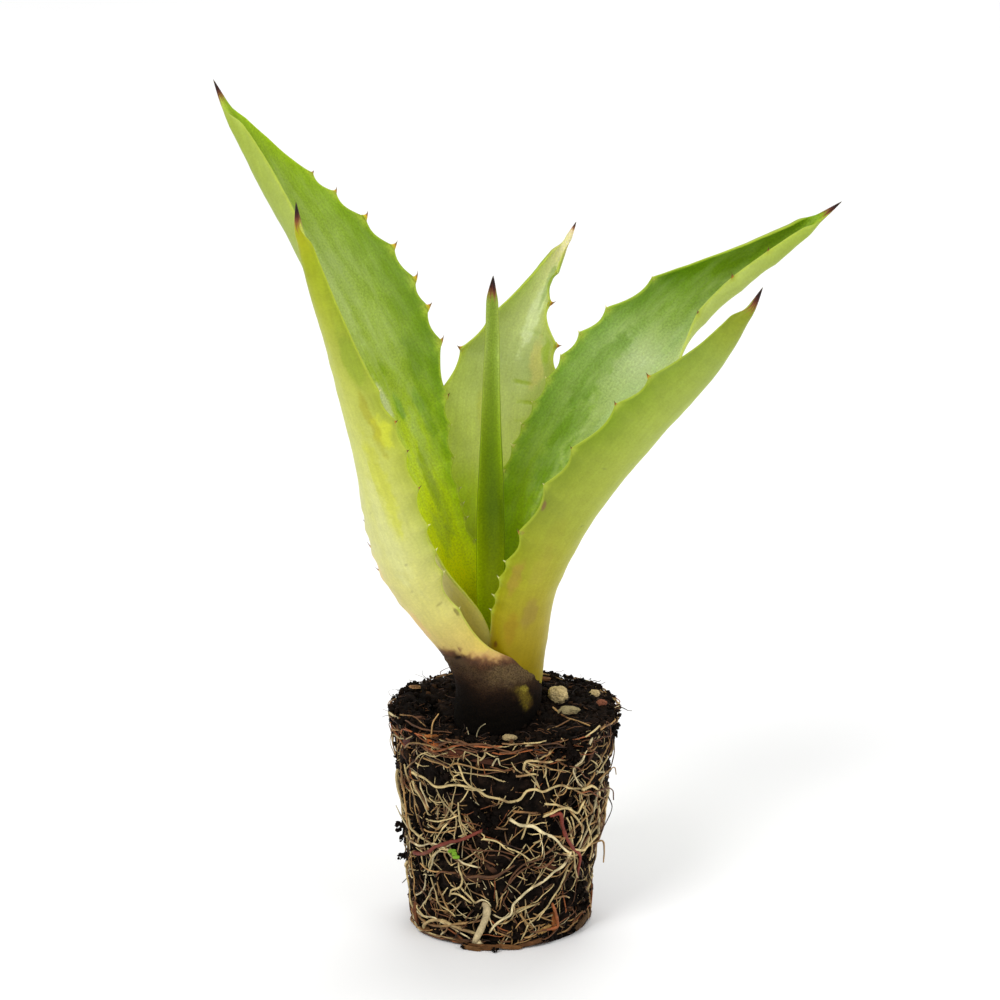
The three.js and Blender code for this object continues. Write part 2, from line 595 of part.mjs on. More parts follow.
// One long root and a branch that springs from the middle of it, for each share of the way round.
function drawnRoutes() {
  const random = seededRandom(ROOT_SEED);
  const wander = (start, steps, way, fall) => {
    const route = [start];
    for (let i = 0; i < steps; i += 1) {
      const [angle, height] = route.at(-1);
      const next = THREE.MathUtils.clamp(height + (random() - fall) * 15, 5, 72);
      route.push([angle + way * (9 + 7 * random()), next]);
    }
    return route;
  };
  const routes = [];
  for (let k = 0; k < DRAWN_ROOTS; k += 1) {
    const angle = DRAWN_FROM + ((DRAWN_TO - DRAWN_FROM) * (k + 0.2 + 0.6 * random())) / DRAWN_ROOTS;
    const way = k % 2 === 0 ? 1 : -1;
    const main = wander([angle, 16 + 50 * ((k * 0.618) % 1)], 5, way, 0.55);
    routes.push({ size: MAIN_ROOT, deep: true, route: main });
    routes.push({ size: FINE_ROOT, route: wander(main[3], 3, -way, k % 3 === 0 ? 0.2 : 0.85) });
  }
  return routes;
}

function roots(grow = 0) {
  const crown = new THREE.IcosahedronGeometry(CROWN_RADIUS + grow, 1);
  crown.translate(NECK_X, 0, CROWN_HEIGHT);
  const rods = [...WALL_ROOTS, ...drawnRoutes()].map((root) => wallRoot(root, grow));
  return joined([solidFromGeometry(crown), ...rods]);
}

// ---------- Stones and bark ----------

function placed(geometry, { at: [angle, distance], lift }) {
  const spot = polar(angle, distance, 0);
  geometry.translate(spot.x, spot.y, groundHeight(spot.x, spot.y) + lift);
  return solidFromGeometry(geometry);
}

// A pebble is a round stone with knocked-in and swollen corners.
function stone(spec, grow = 0) {
  const geometry = new THREE.IcosahedronGeometry(1, 1);
  const position = geometry.getAttribute('position');
  for (let i = 0; i < position.count; i += 1) {
    const point = new THREE.Vector3().fromBufferAttribute(position, i);
    const lump = 1 + 0.14 * noise(2 * point.x + spec.seed, 2 * point.y + 3 * point.z + spec.seed, 997);
    point.multiplyScalar(lump);
    point.multiply(new THREE.Vector3(...spec.size).addScalar(grow));
    position.setXYZ(i, point.x, point.y, point.z);
  }
  return placed(geometry, spec);
}

// A bark chip is a flat splinter with an uneven six-cornered outline.
function chip(spec, grow = 0) {
  const [length, width, thick] = spec.size;
  const outline = [[-0.5, -0.1], [-0.32, -0.5], [0.28, -0.42], [0.5, 0.05], [0.22, 0.5], [-0.36, 0.36]];
  const corners = outline.map(([x, y]) => new THREE.Vector2(x * (length + 2 * grow), y * (width + 2 * grow)));
  const depth = thick + 2 * grow;
  const geometry = new THREE.ExtrudeGeometry(new THREE.Shape(corners), { depth, bevelEnabled: false });
  geometry.translate(0, 0, -depth / 2);
  geometry.rotateX(radians(spec.tilt));
  geometry.rotateZ(radians(spec.turn));
  return placed(geometry, spec);
}

// ---------- Assembly ----------

const group = new THREE.Group();

function addPiece(name, solid, colour, roughness) {
  const material = new THREE.MeshStandardMaterial({ color: colour, roughness, metalness: 0 });
  const mesh = new THREE.Mesh(geometryOf(solid), material);
  mesh.name = name;
  group.add(mesh);
}

const stemSolid = stem();
addPiece('stem', stemSolid, 0x3a2a20, 0.9);

// The leaves are listed from the heart outwards, and each gives way to the ones inside it.
const inwards = [stem(CLEARANCE)];
for (const [name, spec] of Object.entries(LEAVES)) {
  const leaf = new Leaf(spec);
  addPiece(name, largest(cutBy(leaf.solid(), inwards)), spec.colour, 0.5);
  inwards.push(leaf.solid(CLEARANCE));
}

addPiece('roots', largest(cutBy(roots(), [inwards[0]])), 0xb99a62, 0.75);

const loose = [];
for (const [name, spec] of Object.entries(STONES)) {
  addPiece(name, stone(spec), spec.colour, 0.9);
  loose.push(stone(spec, CLEARANCE));
}
for (const [name, spec] of Object.entries(CHIPS)) {
  addPiece(name, chip(spec), spec.colour, 0.85);
  loose.push(chip(spec, CLEARANCE));
}

const soil = cutBy(soilBall(), [...inwards, roots(CLEARANCE), ...loose]);
addPiece('soil_ball', largest(soil), 0x1c1512, 1);

export default group;
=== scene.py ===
# The potted agave, dressed: a young agave lifted out of its pot, on a pale studio floor.
#
# Tables and sizes are in millimetres and degrees, and meshes are made in metres. +Z is up, and the
# front of the plant faces -Y. The origin is the centre of the underside of the root ball.

import math

import bpy
import numpy as np
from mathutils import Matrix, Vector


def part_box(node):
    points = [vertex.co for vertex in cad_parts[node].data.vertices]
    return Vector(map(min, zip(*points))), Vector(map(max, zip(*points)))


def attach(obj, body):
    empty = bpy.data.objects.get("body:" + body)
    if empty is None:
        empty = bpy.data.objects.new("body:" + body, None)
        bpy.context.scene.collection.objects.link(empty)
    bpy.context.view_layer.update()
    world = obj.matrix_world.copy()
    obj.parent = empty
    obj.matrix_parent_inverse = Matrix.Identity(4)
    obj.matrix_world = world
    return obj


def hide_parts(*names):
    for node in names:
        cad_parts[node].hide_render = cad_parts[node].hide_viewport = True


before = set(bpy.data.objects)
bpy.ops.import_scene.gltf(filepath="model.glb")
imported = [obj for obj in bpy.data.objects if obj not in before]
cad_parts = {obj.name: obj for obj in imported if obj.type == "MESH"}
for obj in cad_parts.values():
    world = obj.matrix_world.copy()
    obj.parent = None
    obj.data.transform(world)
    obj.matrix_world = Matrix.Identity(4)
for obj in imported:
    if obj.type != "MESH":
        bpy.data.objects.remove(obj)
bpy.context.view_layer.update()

MM = 0.001  # metres in a millimetre

# ---------- Camera ----------

CAMERA_PLACE = (-1.4, -1422.0, 583.0)
CAMERA_DOWN = 16.8  # how far below level the camera looks
CAMERA_LENS = 155.1
SENSOR_WIDTH = 36.0

# ---------- Root ball ----------

BALL_HEIGHT = 80.0
BALL_FOOT_RADIUS = 31.5
BALL_RIM_RADIUS = 41.0
BALL_FLAT_RADIUS = 30.0
WALL_INSET = 0.8  # above the foot, the wall has shrunk by this much
FOOT_LEAN = -1.4  # and the lower half has slumped to the left
GROUND_DROP = 0.9  # the ground lies this far below the rim's full height
HOLLOW_DEPTH = 9.0  # the soil is washed away from the neck at the front left
HOLLOW_REACH = 34.0
HOLLOW_ANGLE = -125.0
MOUND_HEIGHT = 4.5  # and heaped against it on the other side
MOUND_REACH = 30.0
NECK_X = -2.5
NECK_RADIUS = 14.6

# ---------- Leaves ----------

EDGE_THICKNESS = 0.8
EDGE_INSET = 0.3  # the rounded margin stands out this far beyond the faces
TOOTH_HEIGHT = 2.5
TOOTH_GAP = 12.0  # the margins sag by their full depth between teeth that are this far apart
SPINE_START = 0.945  # share of the length where the hard end spine begins
ROW_STEP = 0.7
COLUMNS = 67
COLUMN_CROWDING = 0.86  # how much closer the columns lie near the margins
RIM_POINTS = 4
RIM_TURN = 60  # the rounded margin turns this far to either side
NEEDLE_RADIUS = 1.75  # of the end spine at its foot
NEEDLE_TIP = 0.05
TOOTH_RINGS = 10
TOOTH_SIDES = 8
TOOTH_SUNK = 0.9  # how deep a tooth's foot lies in the margin
PRINT_DEPTH = 0.22
PRINT_WIDTH = 0.55
MARK_DEPTH = 0.25
DENT_WIDTH = 1.5  # marks narrower than this are dents as well
DRY_END = 99.0  # height where the dry foot of the front left leaf begins to end

# Each leaf is a blade swept along a spine, which runs up the middle of its inner face.
#   facing   the direction that the inner face looks in, as [share of length, angle from +X]
#   left and right   half widths as seen from in front of the inner face, tip up
#   curlLeft and curlRight   the angle that each half is rolled inwards through, from rib to margin
#   thick    thickness at the rib
LEAVES = {
    "leaf_centre_spike": {
        "facing": [[0, 270], [1, 270]],
        "spine": [
            [-4, 2, 93], [-4.6, 3.5, 110], [-4.6, 4, 135], [-4.4, 4, 171], [-4.1, 4, 207], [-4.1, 4, 224],
            [-3.7, 4, 232.3],
        ],
        "left": [[0, 4.2], [0.3, 4.8], [0.6, 3.6], [0.8, 2.7], [0.92, 1.8], [0.95, 1.5], [1, 0.05]],
        "right": [[0, 4.2], [0.3, 4.6], [0.6, 3.2], [0.8, 2.4], [0.92, 1.8], [0.95, 1.5], [1, 0.05]],
        "curlLeft": [[0, 30], [1, 30]],
        "curlRight": [[0, 30], [1, 30]],
        "thick": [[0, 7], [0.3, 8.5], [0.6, 7], [0.8, 5], [0.94, 3.4], [0.97, 2], [1, 0.1]],
    },
    "leaf_back_right": {
        "facing": [[0, 200], [0.2, 230], [0.45, 243], [0.7, 235], [1, 225]],
        "spine": [
            [4, 2, 75], [6, 4, 90], [9.5, 9, 112], [15.5, 16, 143], [31, 26, 170.5], [52, 36, 195.2],
            [76.5, 44, 217.7], [100, 50, 234.5], [118.3, 52, 247.2],
        ],
        "left": [
            [0, 13], [0.15, 16], [0.3, 18.6], [0.45, 21.6], [0.57, 23.2], [0.7, 18.8], [0.8, 12.6],
            [0.9, 5.4], [0.955, 2.8], [1, 0.05],
        ],
        "right": [
            [0, 13], [0.15, 15], [0.3, 19], [0.5, 21.4], [0.57, 17], [0.64, 11.5], [0.7, 9.4],
            [0.8, 10.2], [0.9, 6.4], [0.955, 3.4], [1, 0.05],
        ],
        "curlLeft": [
            [0, 115], [0.2, 75], [0.4, 35], [0.55, 30], [0.7, 60], [0.8, 100], [0.9, 110], [1, 90],
        ],
        "curlRight": [
            [0, 115], [0.2, 70], [0.4, 45], [0.6, 56], [0.66, 80], [0.72, 145], [0.9, 150], [1, 90],
        ],
        "thick": [[0, 2.4], [0.15, 3], [0.3, 4], [0.7, 2.6], [0.94, 2.4], [0.97, 1.6], [1, 0.1]],
    },
    "leaf_back_left": {
        "facing": [[0, -32], [0.25, -42], [1, -35]],
        "spine": [
            [-9, 5, 75], [-12, 9, 108], [-21, 15, 138], [-29.5, 20, 160], [-44.5, 27, 193],
            [-63, 33, 228], [-81.5, 38, 258], [-94.1, 40, 281.3], [-100.1, 40, 292.9],
        ],
        "left": [
            [0, 19], [0.13, 22], [0.23, 22], [0.32, 21], [0.5, 23], [0.65, 20.5], [0.8, 14], [0.9, 8.4],
            [0.955, 3.6], [1, 0.05],
        ],
        "right": [
            [0, 19], [0.13, 11], [0.2, 8.8], [0.27, 8], [0.3, 8.6], [0.35, 11], [0.4, 15.4], [0.45, 20],
            [0.5, 26.3], [0.65, 31], [0.8, 18.9], [0.88, 9.7], [0.93, 3.9], [0.965, 1.7], [1, 0.05],
        ],
        "curlLeft": [
            [0, 125], [0.13, 118], [0.23, 72], [0.4, 55], [0.6, 60], [0.8, 118], [0.9, 128], [1, 90],
        ],
        "curlRight": [[0, 125], [0.15, 75], [0.4, 38], [0.7, 5], [0.9, 10], [1, 90]],
        "thick": [[0, 2.4], [0.15, 3], [0.3, 4], [0.7, 2.6], [0.94, 2.4], [0.97, 1.6], [1, 0.1]],
    },
    "leaf_front_right": {
        "facing": [[0, 112], [0.3, 125], [0.5, 130], [1, 140]],
        "spine": [
            [3.2, -9.4, 75], [4.6, -10.6, 88], [7, -13, 105], [12, -18, 130], [27.5, -26.5, 161],
            [49, -34, 190], [69, -38, 213], [80.2, -40, 231.1], [85.3, -41, 239.4],
        ],
        "left": [
            [0, 20], [0.12, 16.6], [0.2, 14.4], [0.3, 13.2], [0.4, 12.8], [0.5, 13.3], [0.6, 13.2],
            [0.7, 13.1], [0.8, 11.5], [0.9, 6], [0.95, 2], [1, 0.05],
        ],
        "right": [
            [0, 18], [0.12, 13], [0.3, 12.5], [0.5, 15.5], [0.65, 14.5], [0.8, 9.8], [0.87, 6.8],
            [0.93, 3.6], [0.965, 2.2], [1, 0.05],
        ],
        "curlLeft": [[0, 105], [0.15, 75], [0.4, 45], [0.7, 50], [0.9, 75], [1, 90]],
        "curlRight": [[0, 90], [0.15, 70], [0.4, 45], [0.7, 50], [0.9, 75], [1, 90]],
        "thick": [[0, 2.6], [0.15, 3], [0.3, 4], [0.7, 2.6], [0.94, 2.4], [0.97, 1.6], [1, 0.1]],
    },
    "leaf_back_centre": {
        "facing": [[0, 265], [0.3, 258], [1, 250]],
        "spine": [
            [-1, 11.6, 75], [0, 16, 90], [2, 25, 118], [2, 35, 152], [4, 43, 182], [11, 49, 206],
            [18.9, 53, 225.9], [25.4, 56, 239],
        ],
        "left": [
            [0, 18], [0.2, 19], [0.43, 24.5], [0.6, 26], [0.7, 21.8], [0.8, 14.2], [0.9, 6.2],
            [0.96, 1.7], [1, 0.05],
        ],
        "right": [
            [0, 18], [0.2, 17.5], [0.43, 17], [0.64, 17.4], [0.74, 12], [0.82, 4], [0.87, 1.4],
            [0.92, 0.9], [0.96, 0.5], [1, 0.05],
        ],
        "curlLeft": [[0, 90], [0.2, 60], [0.43, 40], [0.62, 45], [0.72, 70], [0.9, 110], [1, 90]],
        "curlRight": [[0, 90], [0.2, 55], [0.43, 20], [0.7, 30], [0.9, 75], [1, 90]],
        "thick": [[0, 2.6], [0.15, 3], [0.3, 3.5], [0.7, 2.4], [0.94, 2], [0.97, 1.4], [1, 0.1]],
    },
    "leaf_front_left": {
        "facing": [[0, 72], [0.3, 62], [0.6, 35], [1, 20]],
        "spine": [
            [-7, -13.7, 73], [-9, -16.5, 95], [-22.5, -22, 120], [-31.5, -26.5, 138], [-41.5, -31, 170],
            [-53.5, -36, 209], [-64, -40, 247], [-68.3, -41, 268.3],
        ],
        "left": [
            [0, 22], [0.04, 28], [0.07, 25], [0.1, 17], [0.15, 8], [0.22, 6], [0.28, 7], [0.33, 8.8],
            [0.4, 9.8], [0.5, 12], [0.6, 13.4], [0.65, 11.6], [0.8, 7], [0.9, 4], [0.95, 2], [1, 0.05],
        ],
        "right": [
            [0, 24], [0.08, 17], [0.14, 13.4], [0.22, 13.6], [0.32, 19.2], [0.5, 21.8], [0.65, 20.4],
            [0.8, 14.8], [0.9, 7], [0.95, 2], [1, 0.05],
        ],
        "curlLeft": [
            [0, 84], [0.04, 105], [0.07, 94], [0.1, 62], [0.15, 34], [0.25, 42], [0.4, 50], [0.7, 60],
            [0.9, 75], [1, 90],
        ],
        "curlRight": [[0, 98], [0.17, 60], [0.4, 45], [0.7, 60], [0.9, 75], [1, 90]],
        "thick": [[0, 1.5], [0.12, 2.4], [0.3, 4], [0.7, 2.6], [0.94, 2.4], [0.97, 1.6], [1, 0.1]],
    },
}

# Margins of each leaf: how far they swell out at the teeth, how deep they sag between them, and the
# teeth as (share of the length, size). Teeth below PALE_SIZE are soft and pale.
PALE_SIZE = 0.45
PLAIN_MARGIN = (0.0, 0.0, [])  # no teeth, so it only waves a little
MARGINS = {
    "leaf_centre_spike": {"left": PLAIN_MARGIN, "right": PLAIN_MARGIN},
    "leaf_back_right": {
        "left": (2.0, 2.1, [(0.27, 0.3), (0.31, 0.35), (0.35, 0.35), (0.386, 0.35), (0.416, 0.4),
            (0.451, 0.4), (0.49, 0.42), (0.527, 0.42), (0.569, 0.44), (0.621, 0.4), (0.699, 0.25)]),
        "right": (0.8, 1.4, [(0.37, 0.4), (0.43, 0.5), (0.49, 0.55), (0.56, 0.6), (0.63, 0.6),
            (0.71, 0.7), (0.787, 0.8), (0.857, 0.7)]),
    },
    "leaf_back_left": {
        "left": (0.4, 0.9, [(0.38, 0.5), (0.46, 0.7), (0.53, 0.8), (0.6, 0.8), (0.67, 0.6)]),
        "right": (1.9, 2.5, [(0.241, 0.35), (0.276, 0.35), (0.296, 0.35), (0.318, 0.35), (0.36, 0.3),
            (0.404, 0.3), (0.444, 0.7), (0.515, 1.0), (0.565, 0.9), (0.607, 1.0), (0.661, 1.0),
            (0.716, 1.0), (0.768, 0.9), (0.809, 0.7)]),
    },
    "leaf_front_right": {
        "left": PLAIN_MARGIN,
        "right": (1.8, 2.3, [(0.223, 0.42), (0.252, 0.42), (0.284, 0.42), (0.317, 0.42), (0.381, 0.5),
            (0.483, 0.42), (0.564, 0.5), (0.675, 0.6), (0.745, 0.7)]),
    },
    "leaf_back_centre": {
        "left": (1.6, 2.2, [(0.3, 0.35), (0.37, 0.4), (0.44, 0.5), (0.52, 0.6), (0.61, 0.7), (0.69, 0.8),
            (0.762, 0.3)]),
        "right": (1.0, 2.6, [(0.3, 0.35), (0.37, 0.4), (0.45, 0.5), (0.53, 0.6), (0.6, 0.7), (0.676, 0.8),
            (0.748, 0.9), (0.826, 1.0), (0.89, 0.3)]),
    },
    "leaf_front_left": {
        "left": (1.1, 1.8, [(0.236, 0.4), (0.313, 0.42), (0.362, 0.44), (0.413, 0.44), (0.483, 0.6),
            (0.554, 0.5), (0.61, 0.5), (0.667, 0.44)]),
        "right": (1.7, 1.8, [(0.273, 0.95), (0.32, 0.95), (0.36, 0.9), (0.403, 0.9), (0.443, 0.8)]),
    },
}

# Colours of each leaf's faces from base to tip, as the eye reads them, 0 to 255, with light and shade
# painted in: the low rows of the back leaves and the centre spike are brightened for light that shines
# through them, one margin of a leaf is lighter than the other for the side that the light falls on, the
# centre spike's margins carry painted highlights, and the foot of the front right leaf's outer face
# carries painted shade:
# (share of length, colour at the rib, colour at the left margin, colour at the right margin).
LEAF_COLOURS_AND_PAINTED_LIGHT = {
    "leaf_centre_spike": {
        "inner": [
            (0, (190, 206, 0), (190, 206, 0), (190, 206, 0)),
            (0.22, (154, 170, 0), (186, 206, 0), (138, 154, 0)),
            (0.4, (98, 124, 0), (136, 160, 0), (98, 122, 0)),
            (0.55, (102, 130, 0), (122, 146, 14), (136, 164, 22)),
            (0.8, (128, 152, 46), (148, 164, 76), (156, 176, 88)),
            (1, (122, 144, 44), (138, 160, 66), (132, 150, 50)),
        ],
        "outer": [
            (0, (132, 146, 2), (132, 146, 2), (132, 146, 2)),
            (0.25, (116, 134, 2), (112, 134, 10), (112, 130, 2)),
            (0.55, (112, 134, 20), (134, 152, 62), (118, 138, 24)),
            (0.8, (112, 136, 30), (140, 156, 70), (126, 144, 40)),
            (1, (122, 144, 44), (138, 160, 66), (132, 150, 50)),
        ],
    },
    "leaf_back_right": {
        "inner": [
            (0, (190, 206, 2), (180, 200, 2), (190, 206, 2)),
            (0.3, (160, 190, 2), (134, 170, 4), (184, 208, 24)),
            (0.45, (134, 160, 62), (110, 148, 38), (154, 180, 56)),
            (0.6, (172, 188, 134), (114, 150, 56), (198, 212, 144)),
            (0.72, (126, 158, 48), (78, 118, 0), (216, 226, 172)),
            (0.8, (116, 150, 20), (108, 148, 14), (200, 214, 124)),
            (0.9, (128, 162, 30), (122, 156, 22), (178, 198, 88)),
            (1, (120, 150, 14), (104, 140, 8), (144, 168, 46)),
        ],
        "outer": [
            (0, (150, 156, 40), (150, 156, 40), (150, 156, 40)),
            (0.5, (170, 184, 90), (156, 176, 70), (172, 186, 92)),
            (0.8, (154, 168, 76), (142, 160, 54), (166, 180, 90)),
            (1, (140, 160, 44), (134, 154, 40), (146, 166, 54)),
        ],
    },
    "leaf_back_left": {
        "inner": [
            (0, (226, 214, 2), (220, 200, 50), (216, 214, 2)),
            (0.2, (250, 255, 2), (240, 248, 20), (236, 252, 2)),
            (0.36, (216, 234, 42), (200, 220, 60), (124, 160, 6)),
            (0.5, (150, 174, 44), (152, 174, 80), (90, 126, 4)),
            (0.68, (148, 170, 78), (166, 188, 104), (98, 132, 12)),
            (0.85, (126, 154, 34), (152, 176, 70), (140, 172, 10)),
            (1, (146, 172, 34), (172, 190, 70), (146, 176, 20)),
        ],
        "outer": [
            (0, (206, 180, 80), (214, 190, 100), (190, 180, 110)),
            (0.17, (194, 176, 62), (210, 196, 108), (190, 180, 90)),
            (0.26, (226, 220, 160), (240, 234, 190), (180, 186, 96)),
            (0.4, (176, 184, 86), (180, 190, 96), (166, 178, 76)),
            (0.75, (150, 166, 76), (160, 174, 88), (140, 160, 54)),
            (1, (150, 166, 46), (160, 176, 70), (146, 164, 36)),
        ],
    },
    "leaf_front_right": {
        "inner": [
            (0, (140, 140, 20), (150, 160, 30), (150, 160, 30)),
            (1, (134, 160, 50), (146, 170, 60), (146, 170, 60)),
        ],
        "outer": [
            (0, (144, 126, 6), (166, 156, 30), (130, 98, 2)),
            (0.12, (138, 118, 6), (196, 184, 96), (136, 108, 2)),
            (0.2, (158, 142, 36), (206, 196, 122), (150, 136, 2)),
            (0.3, (164, 158, 48), (206, 204, 130), (140, 146, 14)),
            (0.45, (158, 166, 60), (196, 200, 112), (124, 136, 40)),
            (0.65, (160, 174, 74), (188, 196, 110), (112, 136, 28)),
            (0.85, (148, 164, 70), (176, 188, 104), (120, 140, 42)),
            (1, (126, 134, 20), (130, 136, 20), (130, 136, 20)),
        ],
    },
    "leaf_back_centre": {
        "inner": [
            (0, (180, 190, 10), (180, 190, 10), (180, 190, 10)),
            (0.25, (206, 214, 40), (190, 204, 20), (206, 210, 40)),
            (0.42, (200, 222, 50), (206, 226, 56), (150, 190, 20)),
            (0.5, (202, 212, 110), (198, 212, 84), (198, 208, 72)),
            (0.7, (166, 178, 108), (168, 184, 94), (166, 178, 80)),
            (0.86, (210, 218, 146), (156, 178, 66), (200, 210, 130)),
            (0.97, (224, 214, 166), (206, 206, 140), (224, 214, 166)),
            (1, (222, 176, 150), (222, 176, 150), (222, 176, 150)),
        ],
        "outer": [
            (0, (170, 176, 60), (170, 176, 60), (170, 176, 60)),
            (0.9, (150, 172, 70), (140, 164, 60), (150, 172, 70)),
            (1, (222, 176, 150), (222, 176, 150), (222, 176, 150)),
        ],
    },
    "leaf_front_left": {
        "inner": [
            (0, (150, 134, 50), (150, 134, 50), (150, 134, 50)),
            (0.3, (176, 180, 50), (190, 192, 80), (190, 192, 80)),
            (1, (170, 186, 60), (186, 198, 90), (186, 198, 90)),
        ],
        "outer": [
            (0, (196, 170, 110), (200, 176, 112), (196, 160, 104)),
            (0.16, (198, 172, 98), (204, 184, 90), (206, 164, 104)),
            (0.25, (202, 194, 112), (202, 196, 112), (206, 180, 118)),
            (0.38, (202, 202, 126), (174, 180, 88), (204, 200, 142)),
            (0.55, (196, 200, 106), (164, 172, 62), (198, 202, 132)),
            (0.75, (176, 182, 76), (134, 148, 44), (190, 198, 116)),
            (0.9, (152, 162, 30), (150, 164, 32), (160, 170, 60)),
            (1, (170, 164, 20), (166, 160, 20), (170, 164, 30)),
        ],
    },
}

# The dry foot of the front left leaf, by height above the floor.
SHEATH_COLOURS = [
    (78, (12, 7, 2)), (85, (20, 11, 5)), (89, (34, 21, 11)), (91.5, (52, 35, 22)), (94, (66, 49, 33)),
    (97, (76, 58, 38)), (99.5, (74, 50, 33)), (101.5, (104, 72, 46)), (102.6, (166, 128, 78)),
    (104, (190, 154, 98)),
]

# Marks on the faces, a few of them dark patches of painted shade:
# (face, share of length, place across from -1 to 1, half length, half width, colour, strength).
MARKS = {
    "leaf_back_left": [
        ("inner", 0.475, -0.13, 9, 2.0, (200, 208, 160), 0.8),
        ("inner", 0.46, 0.12, 5, 1.9, (104, 148, 4), 0.8),
        ("inner", 0.455, 0.5, 5, 2.0, (104, 146, 8), 0.6),
        ("inner", 0.43, 0.62, 11, 2.2, (112, 146, 10), 0.6),
        ("inner", 0.41, 0.3, 13, 2.0, (168, 190, 92), 0.6),
        ("inner", 0.38, 0.36, 9, 2.2, (170, 192, 60), 0.45),
        ("inner", 0.35, 0.12, 12, 2.2, (138, 164, 10), 0.5),
        ("inner", 0.3, 0.3, 12, 2.4, (172, 194, 40), 0.5),
        ("inner", 0.27, -0.1, 10, 3, (176, 196, 60), 0.45),
        ("inner", 0.66, -0.05, 26, 4.0, (180, 198, 116), 0.6),
        ("inner", 0.56, 0.3, 20, 4.5, (166, 186, 96), 0.4),
        ("inner", 0.6, -0.35, 18, 3.0, (178, 196, 126), 0.4),
        ("inner", 0.9, 0.2, 12, 1.6, (120, 152, 10), 0.5),
        ("inner", 0.515, 0.62, 9, 3.4, (96, 130, 10), 0.5),
        ("inner", 0.6, 0.7, 10, 3.4, (104, 136, 16), 0.4),
        ("inner", 0.52, 0.1, 4, 1.3, (120, 150, 12), 0.6),
    ],
    "leaf_back_right": [
        ("inner", 0.5, 0.15, 26, 4.5, (160, 184, 116), 0.5),
        ("inner", 0.62, 0.35, 22, 4.0, (170, 190, 124), 0.5),
        # The dark green marks left of the rib, at shares 0.42, 0.33 and 0.55, are painted shade.
        ("inner", 0.42, -0.35, 22, 5.0, (92, 134, 8), 0.5),
        ("inner", 0.33, -0.1, 18, 4.0, (100, 138, 8), 0.5),
        ("inner", 0.36, 0.45, 14, 3.2, (140, 170, 40), 0.4),
        ("inner", 0.55, -0.5, 20, 4.0, (84, 126, 14), 0.4),
        ("inner", 0.7, 0.1, 22, 3.0, (150, 178, 96), 0.5),
    ],
    "leaf_back_centre": [
        ("inner", 0.655, 0.12, 0.9, 4.2, (150, 170, 50), 0.8),
        ("inner", 0.615, 0.3, 0.8, 4.4, (156, 174, 46), 0.8),
        ("inner", 0.575, 0.25, 0.9, 4.6, (176, 188, 74), 0.5),
        ("inner", 0.76, 0.1, 0.8, 5, (166, 184, 100), 0.6),
        ("inner", 0.7, 0.42, 9, 3.0, (198, 190, 110), 0.7),
        ("inner", 0.73, 0.7, 5, 1.8, (150, 176, 50), 0.6),
        ("inner", 0.79, -0.05, 14, 2.2, (214, 222, 180), 0.6),
        ("inner", 0.6, -0.35, 8, 4, (182, 186, 70), 0.5),
        ("inner", 0.86, 0.05, 9, 1.3, (150, 172, 96), 0.6),
    ],
    "leaf_front_left": [
        ("outer", 0.16, 0.12, 0.9, 1.3, (30, 18, 12), 0.95),
        ("outer", 0.175, 0.35, 1.6, 3.0, (110, 74, 50), 0.6),
        ("outer", 0.24, 0.5, 7, 2.4, (222, 178, 118), 0.5),
        ("outer", 0.33, 0.7, 8, 2.0, (226, 190, 130), 0.45),
        ("outer", 0.5, -0.2, 20, 3.4, (186, 190, 40), 0.4),
        ("outer", 0.6, -0.7, 7, 3.0, (206, 210, 54), 0.6),
        # A dark green band beside the margin: painted shade.
        ("outer", 0.73, -0.7, 12, 2.6, (138, 158, 46), 0.6),
        ("outer", 0.42, 0.1, 24, 3.2, (206, 208, 146), 0.4),
        ("outer", 0.36, -0.1, 0.6, 0.5, (140, 136, 80), 0.5),
        ("outer", 0.31, 0.1, 0.5, 0.5, (140, 132, 80), 0.5),
        ("outer", 0.27, -0.5, 0.5, 1.0, (140, 130, 70), 0.5),
        ("outer", 0.236, -0.86, 2.0, 0.6, (110, 100, 50), 0.6),
        ("outer", 0.62, -0.55, 14, 1.6, (150, 140, 30), 0.35),
        ("outer", 0.45, 0.3, 0.5, 0.4, (140, 140, 80), 0.5),
        ("outer", 0.06, -0.56, 5.2, 3.0, (136, 118, 36), 0.75),
        ("outer", 0.066, -0.44, 1.8, 1.5, (44, 28, 12), 0.8),
        ("outer", 0.045, -0.62, 1.5, 1.5, (60, 42, 16), 0.7),
        ("outer", 0.074, -0.62, 1.5, 1.5, (170, 158, 60), 0.6),
    ],
    "leaf_front_right": [
        ("outer", 0.45, 0.93, 2.0, 0.7, (128, 92, 70), 0.7),
        ("outer", 0.385, 0.95, 0.9, 0.6, (120, 76, 56), 0.7),
        ("outer", 0.24, 0.15, 7, 2.2, (140, 114, 66), 0.4),
        ("outer", 0.34, 0.3, 10, 2.4, (160, 150, 60), 0.3),
        ("outer", 0.3, 0.7, 7, 1.8, (156, 122, 56), 0.5),
        ("outer", 0.2, 0.5, 7, 2.0, (150, 118, 24), 0.5),
        ("outer", 0.42, 0.4, 9, 2.2, (150, 150, 50), 0.3),
        ("outer", 0.44, -0.1, 0.5, 0.5, (110, 120, 60), 0.5),
        ("outer", 0.57, 0.3, 0.5, 0.5, (110, 122, 60), 0.5),
        ("outer", 0.5, -0.5, 0.5, 0.6, (120, 126, 64), 0.5),
        ("outer", 0.16, 0.78, 1.6, 0.7, (100, 60, 16), 0.7),
    ],
}

